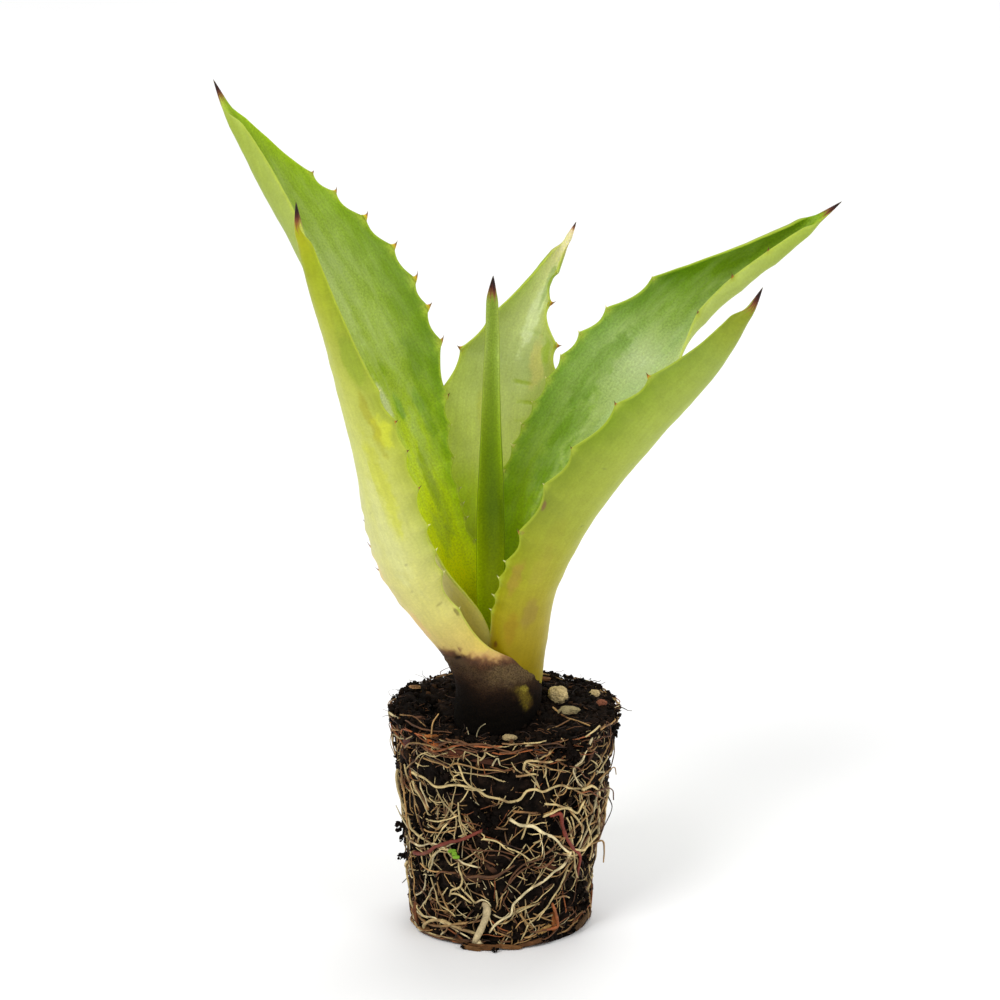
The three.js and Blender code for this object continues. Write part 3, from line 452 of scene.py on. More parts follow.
# The print of another leaf's margin, pressed into a face while both were in the bud:
# (face, route as [share of length, place across]).
PRINTS = {
    "leaf_back_right": [
        ("inner", [[0.46, -0.14], [0.445, -0.22], [0.43, -0.27], [0.415, -0.27], [0.403, -0.2],
            [0.392, -0.08]]),
        ("inner", [[0.392, -0.08], [0.378, -0.16], [0.36, -0.24], [0.34, -0.29], [0.32, -0.31],
            [0.3, -0.26]]),
    ],
}

# How pale the bloom on the inner face of each leaf is.
BLOOM = {
    "leaf_back_left": 0.3, "leaf_back_right": 0.32, "leaf_back_centre": 0.2, "leaf_centre_spike": 0.0,
    "leaf_front_left": 0.1, "leaf_front_right": 0.1,
}

# How strong the grain of the skin is, against the usual.
GRAIN = {"leaf_back_centre": 0.5}

# How long and thick each leaf's end spine is, against the usual.
SPINE_SCALE = {"leaf_back_centre": 0.4}

# The end spine by distance from its tip, and the teeth from their foot to their tip.
SPINE_COLOURS = [
    (0, (40, 32, 36)), (2.6, (36, 24, 26)), (4.4, (70, 34, 28)), (6.2, (120, 66, 44)),
    (9.5, (160, 130, 60)),
]
TOOTH_COLOURS = [
    (0, (184, 190, 46)), (0.3, (198, 176, 40)), (0.48, (164, 104, 46)), (0.66, (88, 52, 40)),
    (1, (46, 36, 38)),
]
PALE_TOOTH_COLOURS = [(0, (190, 200, 70)), (0.5, (216, 216, 120)), (1, (222, 214, 150))]
MARGIN_COLOUR = (172, 186, 64)
PRINT_COLOUR = (186, 206, 130)
BLOOM_COLOUR = (196, 210, 140)
CRUST_COLOUR = (102, 84, 56)

# ---------- Roots ----------

ROOT_COLOURS = {
    "straw": (192, 170, 118),
    "pale": (204, 188, 144),
    "tan": (164, 128, 78),
    "brown": (98, 62, 34),
    "dark": (46, 28, 16),
    "red": (120, 50, 34),
    "rust": (140, 78, 38),
    "thick": (204, 184, 140),
}

# The roots that the photograph shows on the wall were picked point by point, in three enlarged
# parts of it. A part is (left edge, top edge, enlargement), in pixels of the photograph.
LEFT_PART = (385, 730, 6)
RIGHT_PART = (500, 730, 6)
WIDE_PART = (385, 700, 4)
PHOTO_MIDDLE = 500  # pixels, both across and down
PHOTO_FOCAL = 4309.0  # the camera's lens in pixels of the photograph, before CAMERA_LENS was rounded
SIGHT_NEAR = 1300.0  # a line of sight is searched for the wall between these distances
SIGHT_FAR = 1700.0
SIGHT_STEPS = 8001
PICK_LIFT = 0.3  # a picked point lies this far off the plain wall
PICK_LOWEST = 1.0
PICK_HIGHEST = 79.0


def seen(part, *picks):
    """Points picked in an enlarged part of the photograph, as [angle, height] on the wall of the ball.

    A line of sight that passes the ball by gives the place where it comes nearest to the wall.
    """
    left, top, enlargement = part
    down = math.radians(CAMERA_DOWN)
    across = np.array([1.0, 0.0, 0.0])
    ahead = np.array([0.0, math.cos(down), -math.sin(down)])
    above = np.array([0.0, math.sin(down), math.cos(down)])
    distances = np.linspace(SIGHT_NEAR, SIGHT_FAR, SIGHT_STEPS)
    route = []
    for right, below in picks:
        x = left + right / enlargement - PHOTO_MIDDLE
        y = top + below / enlargement - PHOTO_MIDDLE
        sight = ahead + across * x / PHOTO_FOCAL - above * y / PHOTO_FOCAL
        line = np.array(CAMERA_PLACE) + sight * distances[:, None]
        wall = BALL_FOOT_RADIUS + (BALL_RIM_RADIUS - BALL_FOOT_RADIUS) * line[:, 2] / BALL_HEIGHT + PICK_LIFT
        outside = np.hypot(line[:, 0], line[:, 1]) - wall
        reached = np.argmax(outside < 0) if (outside < 0).any() else np.argmin(outside)
        spot = line[reached]
        angle = math.degrees(math.atan2(spot[1], spot[0])) % 360
        height = float(np.clip(spot[2], PICK_LOWEST, PICK_HIGHEST))
        route.append([round(angle), round(height)])
    return route


# (radius, colour, route as [angle, height]), with each point of a route as (right, down) in its part. One
# route was given on the wall itself.
WALL_ROOTS = [
    (0.3, "straw", seen(LEFT_PART, (110, 240), (160, 200), (215, 150), (280, 160), (340, 145),
        (400, 150))),
    (0.35, "tan", seen(LEFT_PART, (215, 170), (270, 185), (330, 210), (370, 225), (420, 210), (500, 225),
        (560, 245), (660, 250), (740, 262))),
    (0.3, "pale", seen(LEFT_PART, (640, 235), (655, 195), (680, 175), (692, 215))),
    (0.5, "straw", seen(LEFT_PART, (140, 265), (200, 290), (250, 320), (330, 345), (420, 335), (500, 345),
        (560, 370), (620, 395), (690, 425), (740, 440)) + seen(RIGHT_PART, (60, 440), (120, 410),
        (170, 370), (220, 360), (260, 370), (330, 355), (380, 345), (430, 350), (510, 365))),
    (0.4, "straw", seen(LEFT_PART, (420, 215), (455, 265), (480, 315), (520, 345), (580, 375))),
    (0.35, "straw", seen(LEFT_PART, (280, 390), (330, 435), (380, 480), (415, 530), (425, 600),
        (410, 690))),
    (0.3, "straw", seen(LEFT_PART, (430, 440), (430, 500), (445, 570), (470, 630), (490, 670))),
    (0.45, "tan", seen(LEFT_PART, (165, 330), (195, 380), (225, 430), (240, 480))),
    (0.35, "straw", seen(LEFT_PART, (190, 330), (215, 385), (245, 440))),
    (0.4, "tan", seen(LEFT_PART, (70, 280), (90, 330), (110, 390))),
    (0.7, "red", seen(LEFT_PART, (180, 735), (240, 740), (300, 705), (370, 680), (440, 660), (510, 635),
        (560, 615), (620, 590))),
    (0.4, "pale", seen(LEFT_PART, (120, 630), (160, 670), (210, 690), (280, 690), (340, 700), (400, 740),
        (450, 780), (510, 810), (570, 830))),
    (0.4, "straw", seen(LEFT_PART, (430, 780), (450, 840), (465, 890), (455, 935), (400, 965),
        (378, 1005))),
    (0.4, "straw", seen(LEFT_PART, (455, 935), (500, 1000), (540, 1045))),
    (0.4, "straw", seen(LEFT_PART, (385, 985), (430, 975), (470, 1000), (510, 1045))),
    (0.4, "tan", seen(LEFT_PART, (300, 935), (330, 1000), (360, 1060), (400, 1110), (445, 1155))),
    (0.35, "straw", seen(LEFT_PART, (205, 1050), (230, 1085), (268, 1128))),
    (0.3, "straw", seen(LEFT_PART, (262, 985), (245, 1050))),
    (0.7, "straw", seen(LEFT_PART, (255, 1205), (250, 1165), (300, 1145), (360, 1150), (430, 1175),
        (480, 1200), (530, 1225))),
    (1.45, "thick", [[258.5, 17.5], [260, 15], [258.5, 11], [256, 7.5], [253.5, 4.4], [252, 2.2],
        [255, 1.2]]),
    (0.25, "straw", seen(LEFT_PART, (530, 1210), (532, 1160), (570, 1110), (610, 1060))),
    (0.35, "pale", seen(LEFT_PART, (535, 1045), (580, 1022), (622, 1040), (637, 1075))),
    (0.35, "straw", seen(LEFT_PART, (550, 655), (620, 665), (690, 685), (720, 720), (780, 740))),
    (0.3, "pale", seen(LEFT_PART, (665, 585), (735, 612))),
    (0.55, "brown", seen(LEFT_PART, (480, 890), (560, 880), (640, 880), (700, 860), (780, 830))),
    (0.4, "brown", seen(LEFT_PART, (420, 855), (330, 850), (290, 880))),
    (0.4, "straw", seen(LEFT_PART, (660, 985), (675, 1040), (668, 1080))),
    (0.4, "straw", seen(LEFT_PART, (200, 640), (190, 690), (230, 720))),
    (0.4, "straw", seen(LEFT_PART, (350, 740), (370, 790), (400, 820))),
    (0.35, "straw", seen(LEFT_PART, (300, 730), (260, 790), (255, 850))),
    (0.4, "tan", seen(LEFT_PART, (310, 590), (345, 530), (360, 480), (400, 440))),
    (0.35, "tan", seen(LEFT_PART, (250, 560), (300, 600), (340, 560))),
    (0.5, "straw", seen(RIGHT_PART, (145, 240), (165, 200), (230, 185), (300, 190), (370, 190),
        (440, 200))),
    (0.4, "pale", seen(RIGHT_PART, (580, 20), (550, 70), (530, 130), (500, 175), (470, 200), (450, 250),
        (470, 310), (510, 350))),
    (0.4, "straw", seen(RIGHT_PART, (150, 245), (200, 290), (243, 355))),
    (0.4, "straw", seen(RIGHT_PART, (90, 240), (100, 270), (140, 280), (200, 275), (243, 280))),
    (0.5, "straw", seen(RIGHT_PART, (270, 525), (310, 500), (370, 480), (430, 475), (470, 490),
        (500, 450), (530, 430))),
    (0.44, "straw", seen(RIGHT_PART, (250, 430), (290, 455), (350, 460), (400, 465), (440, 475))),
    (0.44, "straw", seen(RIGHT_PART, (430, 480), (460, 530), (500, 590), (495, 650), (480, 710))),
    (0.3, "straw", seen(RIGHT_PART, (430, 530), (440, 590), (455, 640))),
    (0.45, "tan", seen(RIGHT_PART, (80, 490), (150, 490), (230, 503))),
    (0.4, "straw", seen(RIGHT_PART, (180, 510), (165, 570), (135, 665))),
    (0.62, "pale", seen(RIGHT_PART, (60, 540), (120, 570), (200, 590), (270, 620), (330, 660), (370, 700),
        (425, 733))),
    (0.72, "red", seen(RIGHT_PART, (310, 525), (370, 510), (380, 570), (400, 640), (450, 710), (490, 760),
        (490, 830), (490, 910))),
    (0.5, "pale", seen(RIGHT_PART, (433, 735), (400, 800), (340, 850), (270, 910), (200, 960),
        (140, 1000), (90, 1060), (60, 1110), (0, 1150)) + seen(LEFT_PART, (650, 1180), (623, 1215))),
    (0.4, "straw", seen(RIGHT_PART, (440, 730), (410, 850), (370, 940), (320, 1020), (290, 1070),
        (220, 1130), (160, 1190), (120, 1300))),
    (0.35, "straw", seen(RIGHT_PART, (80, 1110), (150, 1080), (210, 1055), (262, 1045))),
    (0.3, "straw", seen(RIGHT_PART, (120, 1110), (150, 1150), (182, 1178))),
    (0.35, "straw", seen(RIGHT_PART, (10, 700), (60, 710), (120, 750), (170, 765), (222, 806))),
    (0.4, "brown", seen(RIGHT_PART, (215, 820), (130, 860), (60, 930), (20, 985))),
    (0.45, "brown", seen(RIGHT_PART, (330, 780), (270, 815), (200, 825))),
    (0.5, "straw", seen(RIGHT_PART, (510, 355), (555, 345), (600, 365), (622, 405))),
    (0.45, "tan", seen(RIGHT_PART, (520, 350), (560, 300), (590, 250))),
    (0.35, "straw", seen(RIGHT_PART, (340, 1015), (400, 1005), (445, 1010))),
    (0.4, "pale", seen(RIGHT_PART, (350, 745), (400, 740), (433, 745))),
    (0.3, "straw", seen(RIGHT_PART, (212, 686), (270, 650))),
    (0.4, "brown", seen(RIGHT_PART, (0, 140), (80, 130), (160, 120))),
    (0.5, "brown", seen(LEFT_PART, (300, 100), (380, 75), (460, 80), (560, 110))),
    (0.4, "brown", seen(LEFT_PART, (350, 130), (450, 125), (560, 135), (600, 120))),
    (0.35, "tan", seen(RIGHT_PART, (270, 165), (300, 145), (330, 130))),
    (0.4, "straw", seen(RIGHT_PART, (280, 215), (285, 250), (275, 290))),
    (0.35, "straw", seen(LEFT_PART, (560, 200), (585, 160), (600, 125))),
    (0.6, "rust", seen(RIGHT_PART, (330, 1050), (345, 1110), (350, 1190), (300, 1200), (260, 1210))),
    (0.45, "tan", seen(WIDE_PART, (45, 250), (62, 330), (74, 400), (84, 470), (96, 540))),
    (0.4, "straw", seen(WIDE_PART, (72, 262), (95, 320), (110, 390), (118, 450))),
    (0.4, "straw", seen(WIDE_PART, (100, 330), (122, 372), (142, 410), (157, 442))),
    (0.3, "pale", seen(WIDE_PART, (122, 330), (150, 388), (162, 432))),
    (0.3, "straw", seen(WIDE_PART, (262, 410), (240, 470), (205, 525), (168, 562))),
    (0.35, "straw", seen(WIDE_PART, (290, 450), (300, 512), (316, 556))),
    (0.3, "straw", seen(WIDE_PART, (150, 482), (200, 492), (245, 480), (292, 466))),
    (0.3, "tan", seen(WIDE_PART, (148, 522), (212, 528), (272, 532))),
    (0.35, "straw", seen(WIDE_PART, (275, 462), (238, 512), (190, 566))),
    (0.3, "straw", seen(WIDE_PART, (166, 600), (182, 642), (174, 692))),
    (0.3, "tan", seen(WIDE_PART, (140, 652), (182, 682), (232, 690), (272, 702))),
    (0.45, "brown", seen(WIDE_PART, (330, 590), (362, 622), (402, 642), (440, 672))),
    (0.35, "straw", seen(WIDE_PART, (180, 710), (202, 762), (216, 812), (270, 852), (296, 888))),
    (0.3, "pale", seen(WIDE_PART, (192, 742), (162, 800), (140, 852))),
    (0.3, "straw", seen(WIDE_PART, (170, 930), (240, 946), (322, 962))),
    (0.35, "straw", seen(WIDE_PART, (420, 920), (452, 890), (502, 862), (542, 842), (592, 826),
        (632, 816))),
    (0.3, "pale", seen(WIDE_PART, (430, 860), (470, 872), (502, 852))),
    (0.25, "straw", seen(WIDE_PART, (440, 780), (446, 832))),
    (0.25, "tan", seen(WIDE_PART, (466, 784), (456, 842))),
    (0.3, "tan", seen(WIDE_PART, (540, 860), (570, 892), (592, 912))),
    (0.4, "tan", seen(WIDE_PART, (560, 952), (602, 940), (622, 902))),
    (0.35, "straw", seen(WIDE_PART, (798, 430), (820, 462), (812, 484))),
    (0.35, "straw", seen(WIDE_PART, (862, 302), (882, 262), (902, 222))),
    (0.3, "tan", seen(WIDE_PART, (640, 262), (650, 312))),
    (0.3, "straw", seen(WIDE_PART, (730, 470), (762, 552))),
    (0.5, "brown", seen(WIDE_PART, (872, 520), (862, 582), (850, 642))),
    (0.35, "dark", seen(WIDE_PART, (800, 700), (822, 762), (806, 832))),
    (0.35, "tan", seen(WIDE_PART, (100, 600), (112, 660), (118, 720), (126, 790))),
    (0.3, "brown", seen(WIDE_PART, (300, 590), (380, 600), (460, 610), (540, 640))),
    (0.35, "brown", seen(WIDE_PART, (480, 760), (520, 700), (570, 660), (640, 640), (700, 620))),
    (0.3, "dark", seen(WIDE_PART, (420, 560), (500, 590), (560, 600))),
    (0.3, "tan", seen(WIDE_PART, (230, 560), (250, 610), (300, 650), (330, 672))),
    (0.35, "straw", seen(WIDE_PART, (240, 600), (275, 632), (330, 660))),
    (0.3, "brown", seen(WIDE_PART, (350, 700), (420, 720), (480, 690))),
    (0.3, "straw", seen(WIDE_PART, (330, 206), (310, 212), (306, 250))),
    (0.35, "tan", seen(WIDE_PART, (60, 190), (110, 170), (170, 186), (215, 200))),
    (0.4, "rust", seen(WIDE_PART, (150, 190), (190, 204), (260, 190), (330, 180), (400, 190),
        (470, 186))),
    (0.35, "brown", seen(WIDE_PART, (230, 160), (300, 176), (390, 168), (470, 200), (540, 215))),
    (0.3, "straw", seen(WIDE_PART, (470, 160), (520, 166), (560, 180), (600, 172), (650, 150))),
    (0.3, "brown", seen(WIDE_PART, (120, 180), (200, 220), (300, 226), (380, 210))),
    (0.3, "straw", seen(WIDE_PART, (870, 330), (884, 352), (904, 372))),
    (0.35, "tan", seen(WIDE_PART, (740, 350), (800, 380), (850, 376), (890, 410), (900, 440))),
    (0.3, "rust", seen(WIDE_PART, (780, 380), (830, 372), (870, 392))),
    (0.3, "straw", seen(WIDE_PART, (830, 300), (862, 270), (880, 232))),
]

# Loose ends that hang clear of the wall: (radius, colour, route as [angle, height, distance from the wall]).
LOOSE_ROOTS = [
    (0.45, "tan", [[318, 33, 0.3], [333, 33, 0.9], [343, 32, 2.6], [346, 28, 3.4], [347, 23, 3.7]]),
    (0.32, "tan", [[330, 58, 0.4], [343, 59, 1.2], [350, 58, 2.0], [352, 55, 2.6]]),
    (0.35, "brown", [[325, 54, 0.4], [338, 53, 1.2], [348, 50, 2.4], [350, 46, 2.9]]),
    (0.22, "dark", [[350, 47, 1.0], [351, 43, 2.4], [350, 38, 1.8], [347, 34, 0.6]]),
    (0.4, "brown", [[338, 43, 0.8], [342, 38, 1.8], [340, 32, 1.0]]),
    (0.25, "dark", [[336, 31, 1.0], [338, 26, 2.0], [336, 20, 1.4], [340, 15, 2.2], [332, 11, 0.3]]),
    (0.2, "straw", [[186, 70, 0.3], [184, 66, 1.2], [183, 61, 0.4]]),
    (0.3, "pale", [[202, 38, 0.4], [193, 40, 1.0], [187, 43, 2.2]]),
    (0.22, "dark", [[184, 15, 0.3], [182, 13, 1.8], [180, 12, 2.4]]),
    (0.25, "straw", [[20, 50, 0.3], [24, 47, 2.2], [25, 41, 2.8]]),
    (0.3, "tan", [[95, 36, 0.3], [99, 33, 2.4], [99, 27, 3.0]]),
    (0.22, "dark", [[140, 62, 0.3], [144, 59, 2.0], [143, 54, 1.2]]),
]

# Roots that lie on the ground or stand out of it: (radius, colour, route as [x, y, height above the ground]).
GROUND_ROOTS = [
    (0.34, "tan", [[17, -4, 1.0], [20, -9, 0.8], [23, -17, 0.9], [26, -20, 0.7], [30, -23, 0.2]]),
    (0.32, "tan", [[15, -26, 0.0], [18, -24, 0.7], [21, -20, 0.9], [23, -17, 0.8]]),
    (0.36, "straw", [[33, -23, 0.6], [31, -29, 0.9], [28, -33, 0.6]]),
    (0.34, "tan", [[-25, -31, -1.0], [-24.5, -30.5, 3.5], [-22.5, -29, 6.4]]),
    (0.18, "pale", [[-12, -20, 0.0], [-12.2, -19.6, 3.0], [-13, -19, 5.5]]),
    (0.18, "pale", [[-9, -22, -0.5], [-9.4, -21.4, 3.5], [-8.4, -21, 6.6], [-6.4, -21, 7.6]]),
    (0.3, "tan", [[-36, -12, 0.4], [-31, -18, 0.8], [-27, -24, 0.2]]),
    (0.35, "brown", [[-34, -20, 0.3], [-28, -28, 0.8], [-18, -33, 0.4]]),
    (0.3, "tan", [[6, 33, 0.3], [14, 31, 0.8], [22, 26, 0.2]]),
    (0.35, "straw", [[-24, 27, 0.2], [-16, 30, 0.9], [-9, 34, 0.3]]),
]

# Scraps of bark at the foot and the rim of the ball:
# (angle, height, distance from the wall, half length, half width, turn, colour).
SCRAPS = [
    (203, 6.0, 0.8, 4.8, 1.6, 102, (98, 58, 32)), (213, 1.6, 0.2, 3.6, 1.2, 20, (96, 66, 36)),
    (331, 3.6, 1.6, 4.8, 1.2, 22, (84, 62, 40)), (304, 8, 0.0, 3.8, 1.2, 95, (130, 76, 36)),
    (296, 6, 0.0, 3.2, 1.0, 20, (150, 116, 66)), (257, 1.2, 1.8, 7.0, 1.2, 3, (92, 60, 32)),
    (251, 0.9, 3.0, 4.0, 0.9, -4, (104, 72, 40)), (273, 1.3, 0.7, 5.0, 0.9, -6, (104, 70, 38)),
    (287, 1.8, 0.2, 4.5, 0.9, 9, (86, 56, 32)), (240, 1.6, 0.2, 5.5, 0.9, 0, (84, 56, 32)),
    (248, 27, -0.6, 5.5, 1.3, -6, (58, 36, 22)), (300, 29, -0.6, 5.0, 1.4, -28, (74, 42, 25)),
    (262, 31, -0.6, 4.4, 1.2, -40, (66, 42, 27)), (246, 74, -0.2, 6.0, 1.1, 6, (78, 40, 24)),
    (262, 72, -0.2, 6.5, 1.0, -3, (62, 34, 21)), (232, 76, 0.0, 3.8, 1.0, -8, (150, 84, 40)),
    (212, 73, 0.0, 3.2, 1.1, 30, (82, 44, 38)), (322, 70, -0.2, 3.6, 1.2, 60, (70, 44, 29)),
    (60, 40, -0.2, 5.0, 1.4, 20, (84, 54, 33)), (110, 14, -0.2, 5.0, 1.3, 80, (98, 62, 34)),
    (150, 55, -0.2, 4.6, 1.3, -20, (78, 50, 32)), (20, 8, 0.0, 4.6, 1.2, 10, (98, 64, 36)),
]

# Black clods that stand out of the wall: (angle, height, distance from the wall, size).
CLODS = [
    (184, 35, 0.8, 2.0), (181, 32.5, 2.0, 1.2), (183, 30, 1.0, 1.4), (185, 24, 0.6, 1.8),
    (181, 22, 1.8, 1.1), (354, 77, -0.8, 2.0), (350, 73, -0.4, 1.8), (356, 70, 0.0, 1.5),
    (330, 14, 0.2, 2.2), (334, 9, 0.6, 1.8), (298, 73, 0.4, 2.0), (303, 74, 0.6, 2.4),
    (308, 72, 0.8, 2.5), (313, 74, 0.6, 2.2), (305, 69, 0.4, 1.8), (256, 53, 0.2, 2.2),
    (262, 51, 0.5, 2.6), (267, 53, 0.2, 2.0), (260, 47, 0.2, 1.8), (238, 65, 0.0, 1.8),
    (277, 6, 0.4, 1.6), (247, 0.9, 2.2, 1.3), (265, 0.9, 3.0, 1.2), (326, 18, 0.4, 2.0),
    (190, 75, -0.8, 2.0), (196, 77, -1.0, 2.2), (120, 66, 0.6, 2.4), (70, 58, 0.6, 2.0),
    (30, 22, 0.6, 2.2), (150, 20, 0.6, 2.2),
]


# ---------- Numbers ----------

def unit(vectors):
    return vectors / np.maximum(np.linalg.norm(vectors, axis=-1, keepdims=True), 1e-12)


def smooth(low, high, value):
    t = np.clip((value - low) / (high - low), 0, 1)
    return t * t * (3 - 2 * t)


def curve_at(knots, values, place):
    """A smooth curve through values at rising knots, with each knot's slope taken from its neighbours."""
    knots = np.asarray(knots, float)
    values = np.asarray(values, float)
    last = len(knots) - 1
    before = np.maximum(np.arange(last + 1) - 1, 0)
    after = np.minimum(np.arange(last + 1) + 1, last)
    rise = knots[after] - knots[before]
    wide = values.ndim > 1
    slopes = (values[after] - values[before]) / (rise[:, None] if wide else rise)
    s = np.clip(place, knots[0], knots[-1])
    i = np.clip(np.searchsorted(knots, s, side="right") - 1, 0, last - 1)
    span = knots[i + 1] - knots[i]
    u = (s - knots[i]) / span
    if wide:
        u, span = u[..., None], span[..., None]
    return ((2 * u ** 3 - 3 * u ** 2 + 1) * values[i] + (u ** 3 - 2 * u ** 2 + u) * span * slopes[i]
            + (3 * u ** 2 - 2 * u ** 3) * values[i + 1] + (u ** 3 - u ** 2) * span * slopes[i + 1])


def from_table(table, s):
    return curve_at([row[0] for row in table], [row[1] for row in table], s)


def linear(colour):
    """A colour as the eye reads it, 0 to 255, as the light that the shader takes."""
    c = np.asarray(colour, float) / 255
    return np.where(c <= 0.04045, c / 12.92, ((c + 0.055) / 1.055) ** 2.4)


def colour_steps(table, place, column=1):
    """Colours between the rows of a table of (place, colour, ...)."""
    places = [row[0] for row in table]
    return np.stack([np.interp(place, places, [row[column][k] for row in table]) for k in range(3)], -1)


def lattice(i, j, k, seed):
    """A repeatable number from -1 to 1 for each point of a whole-number lattice."""
    mixed = (i * 374761393 + j * 668265263 + k * 1440662683 + seed * 974711) & 0xFFFFFFFF
    mixed = ((mixed ^ (mixed >> 13)) * 1274126177) & 0xFFFFFFFF
    mixed = ((mixed ^ (mixed >> 15)) * 2246822519) & 0xFFFFFFFF
    return (mixed ^ (mixed >> 16)) / 2147483648.0 - 1


def noise(points, cell, seed=0):
    """Smooth noise from -1 to 1 at points, with lumps about `cell` across."""
    p = np.asarray(points, float) / cell
    base = np.floor(p).astype(np.int64)
    f = p - base
    f = f * f * (3 - 2 * f)
    total = np.zeros(p.shape[:-1])
    for corner in range(8):
        step = np.array([corner & 1, (corner >> 1) & 1, corner >> 2])
        share = np.prod(np.where(step == 1, f, 1 - f), axis=-1)
        at = base + step
        total += share * lattice(at[..., 0], at[..., 1], at[..., 2], seed)
    return total


def layered(points, cell, layers, seed=0):
    return sum(noise(points, cell / 2 ** k, seed + k) * 0.6 ** k for k in range(layers))


def cells(points, cell, seed=0):
    """Distance to the nearest of a scatter of points, as a share of the cell: round clods with creases."""
    p = np.asarray(points, float) / cell
    base = np.floor(p).astype(np.int64)
    nearest = np.full(p.shape[:-1], 9.0)
    for corner in range(27):
        at = base + np.array([corner % 3 - 1, corner // 3 % 3 - 1, corner // 9 - 1])
        spot = np.stack([at[..., k] + 0.5 + 0.45 * lattice(at[..., 0], at[..., 1], at[..., 2], seed + k)
                         for k in range(3)], -1)
        nearest = np.minimum(nearest, np.linalg.norm(p - spot, axis=-1))
    return nearest


def wobble(points, cell, seed):
    """Noise of its own in each of the three directions."""
    return np.stack([noise(points, cell, seed + k) for k in range(3)], -1)


def stretched(points, low, high):
    """The points, stretched to fill the box between two corners."""
    return (points - points.min(0)) / (points.max(0) - points.min(0)) * (high - low) + low


# ---------- Meshes ----------

class Heap:
    """Points and faces gathered from many small shapes, and made into one mesh."""

    def __init__(self):
        self.points, self.quads, self.tris, self.tints = [], [], [], []
        self.count = 0

    def add(self, points, quads=(), tris=(), tint=(0.5, 0.5, 0.5)):
        self.points.append(np.asarray(points, float))
        if len(quads):
            self.quads.append(np.asarray(quads) + self.count)
        if len(tris):
            self.tris.append(np.asarray(tris) + self.count)
        self.tints.append(np.broadcast_to(np.asarray(tint, float), (len(points), 3)))
        self.count += len(points)

    def build(self, name, material):
        quads = np.concatenate(self.quads) if self.quads else np.zeros((0, 4), int)
        tris = np.concatenate(self.tris) if self.tris else np.zeros((0, 3), int)
        points = np.concatenate(self.points) * MM
        corners = np.concatenate([quads.ravel(), tris.ravel()]).astype(np.int32)
        starts = np.concatenate([4 * np.arange(len(quads)), 4 * len(quads) + 3 * np.arange(len(tris))])
        mesh = bpy.data.meshes.new(name)
        mesh.vertices.add(len(points))
        mesh.vertices.foreach_set("co", points.astype(np.float32).ravel())
        mesh.loops.add(len(corners))
        mesh.loops.foreach_set("vertex_index", corners)
        mesh.polygons.add(len(starts))
        mesh.polygons.foreach_set("loop_start", starts.astype(np.int32))
        mesh.update(calc_edges=True)
        mesh.polygons.foreach_set("use_smooth", np.ones(len(starts), bool))
        tints = np.concatenate(self.tints)
        colours = mesh.attributes.new("tint", "FLOAT_COLOR", "POINT")
        colours.data.foreach_set("color", np.c_[tints, np.ones(len(tints))].astype(np.float32).ravel())
        mesh.materials.append(material)
        piece = bpy.data.objects.new(name, mesh)
        bpy.context.scene.collection.objects.link(piece)
        return piece


def grid_quads(rows, around):
    """Quads between closed rings of points, each `around` points long."""
    i, j = np.meshgrid(np.arange(rows - 1), np.arange(around), indexing="ij")
    a = i * around + j
    b = i * around + (j + 1) % around
    return np.stack([a, b, b + around, a + around], -1).reshape(-1, 4)


def fan(first, around, hub, inwards=False):
    """Triangles from a ring of points, which starts at `first`, to a hub."""
    edges = [(first + k, first + (k + 1) % around) for k in range(around)]
    return [(b, a, hub) if inwards else (a, b, hub) for a, b in edges]


def mottled(colour, points, amount, cell, seed):
    """A colour made lighter and darker from place to place."""
    shade = 1 + amount * noise(points, cell, seed)
    return np.clip(linear(colour) * shade[:, None], 0, 1)


def add_attribute(piece, name, kind, field, values):
    attribute = piece.data.attributes.new(name, kind, "POINT")
    attribute.data.foreach_set(field, np.asarray(values, np.float32).ravel())


def finish_piece(piece, slot, *nodes):
    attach(piece, "root")
    if nodes:
        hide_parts(*nodes)
    return piece


# ---------- Materials ----------

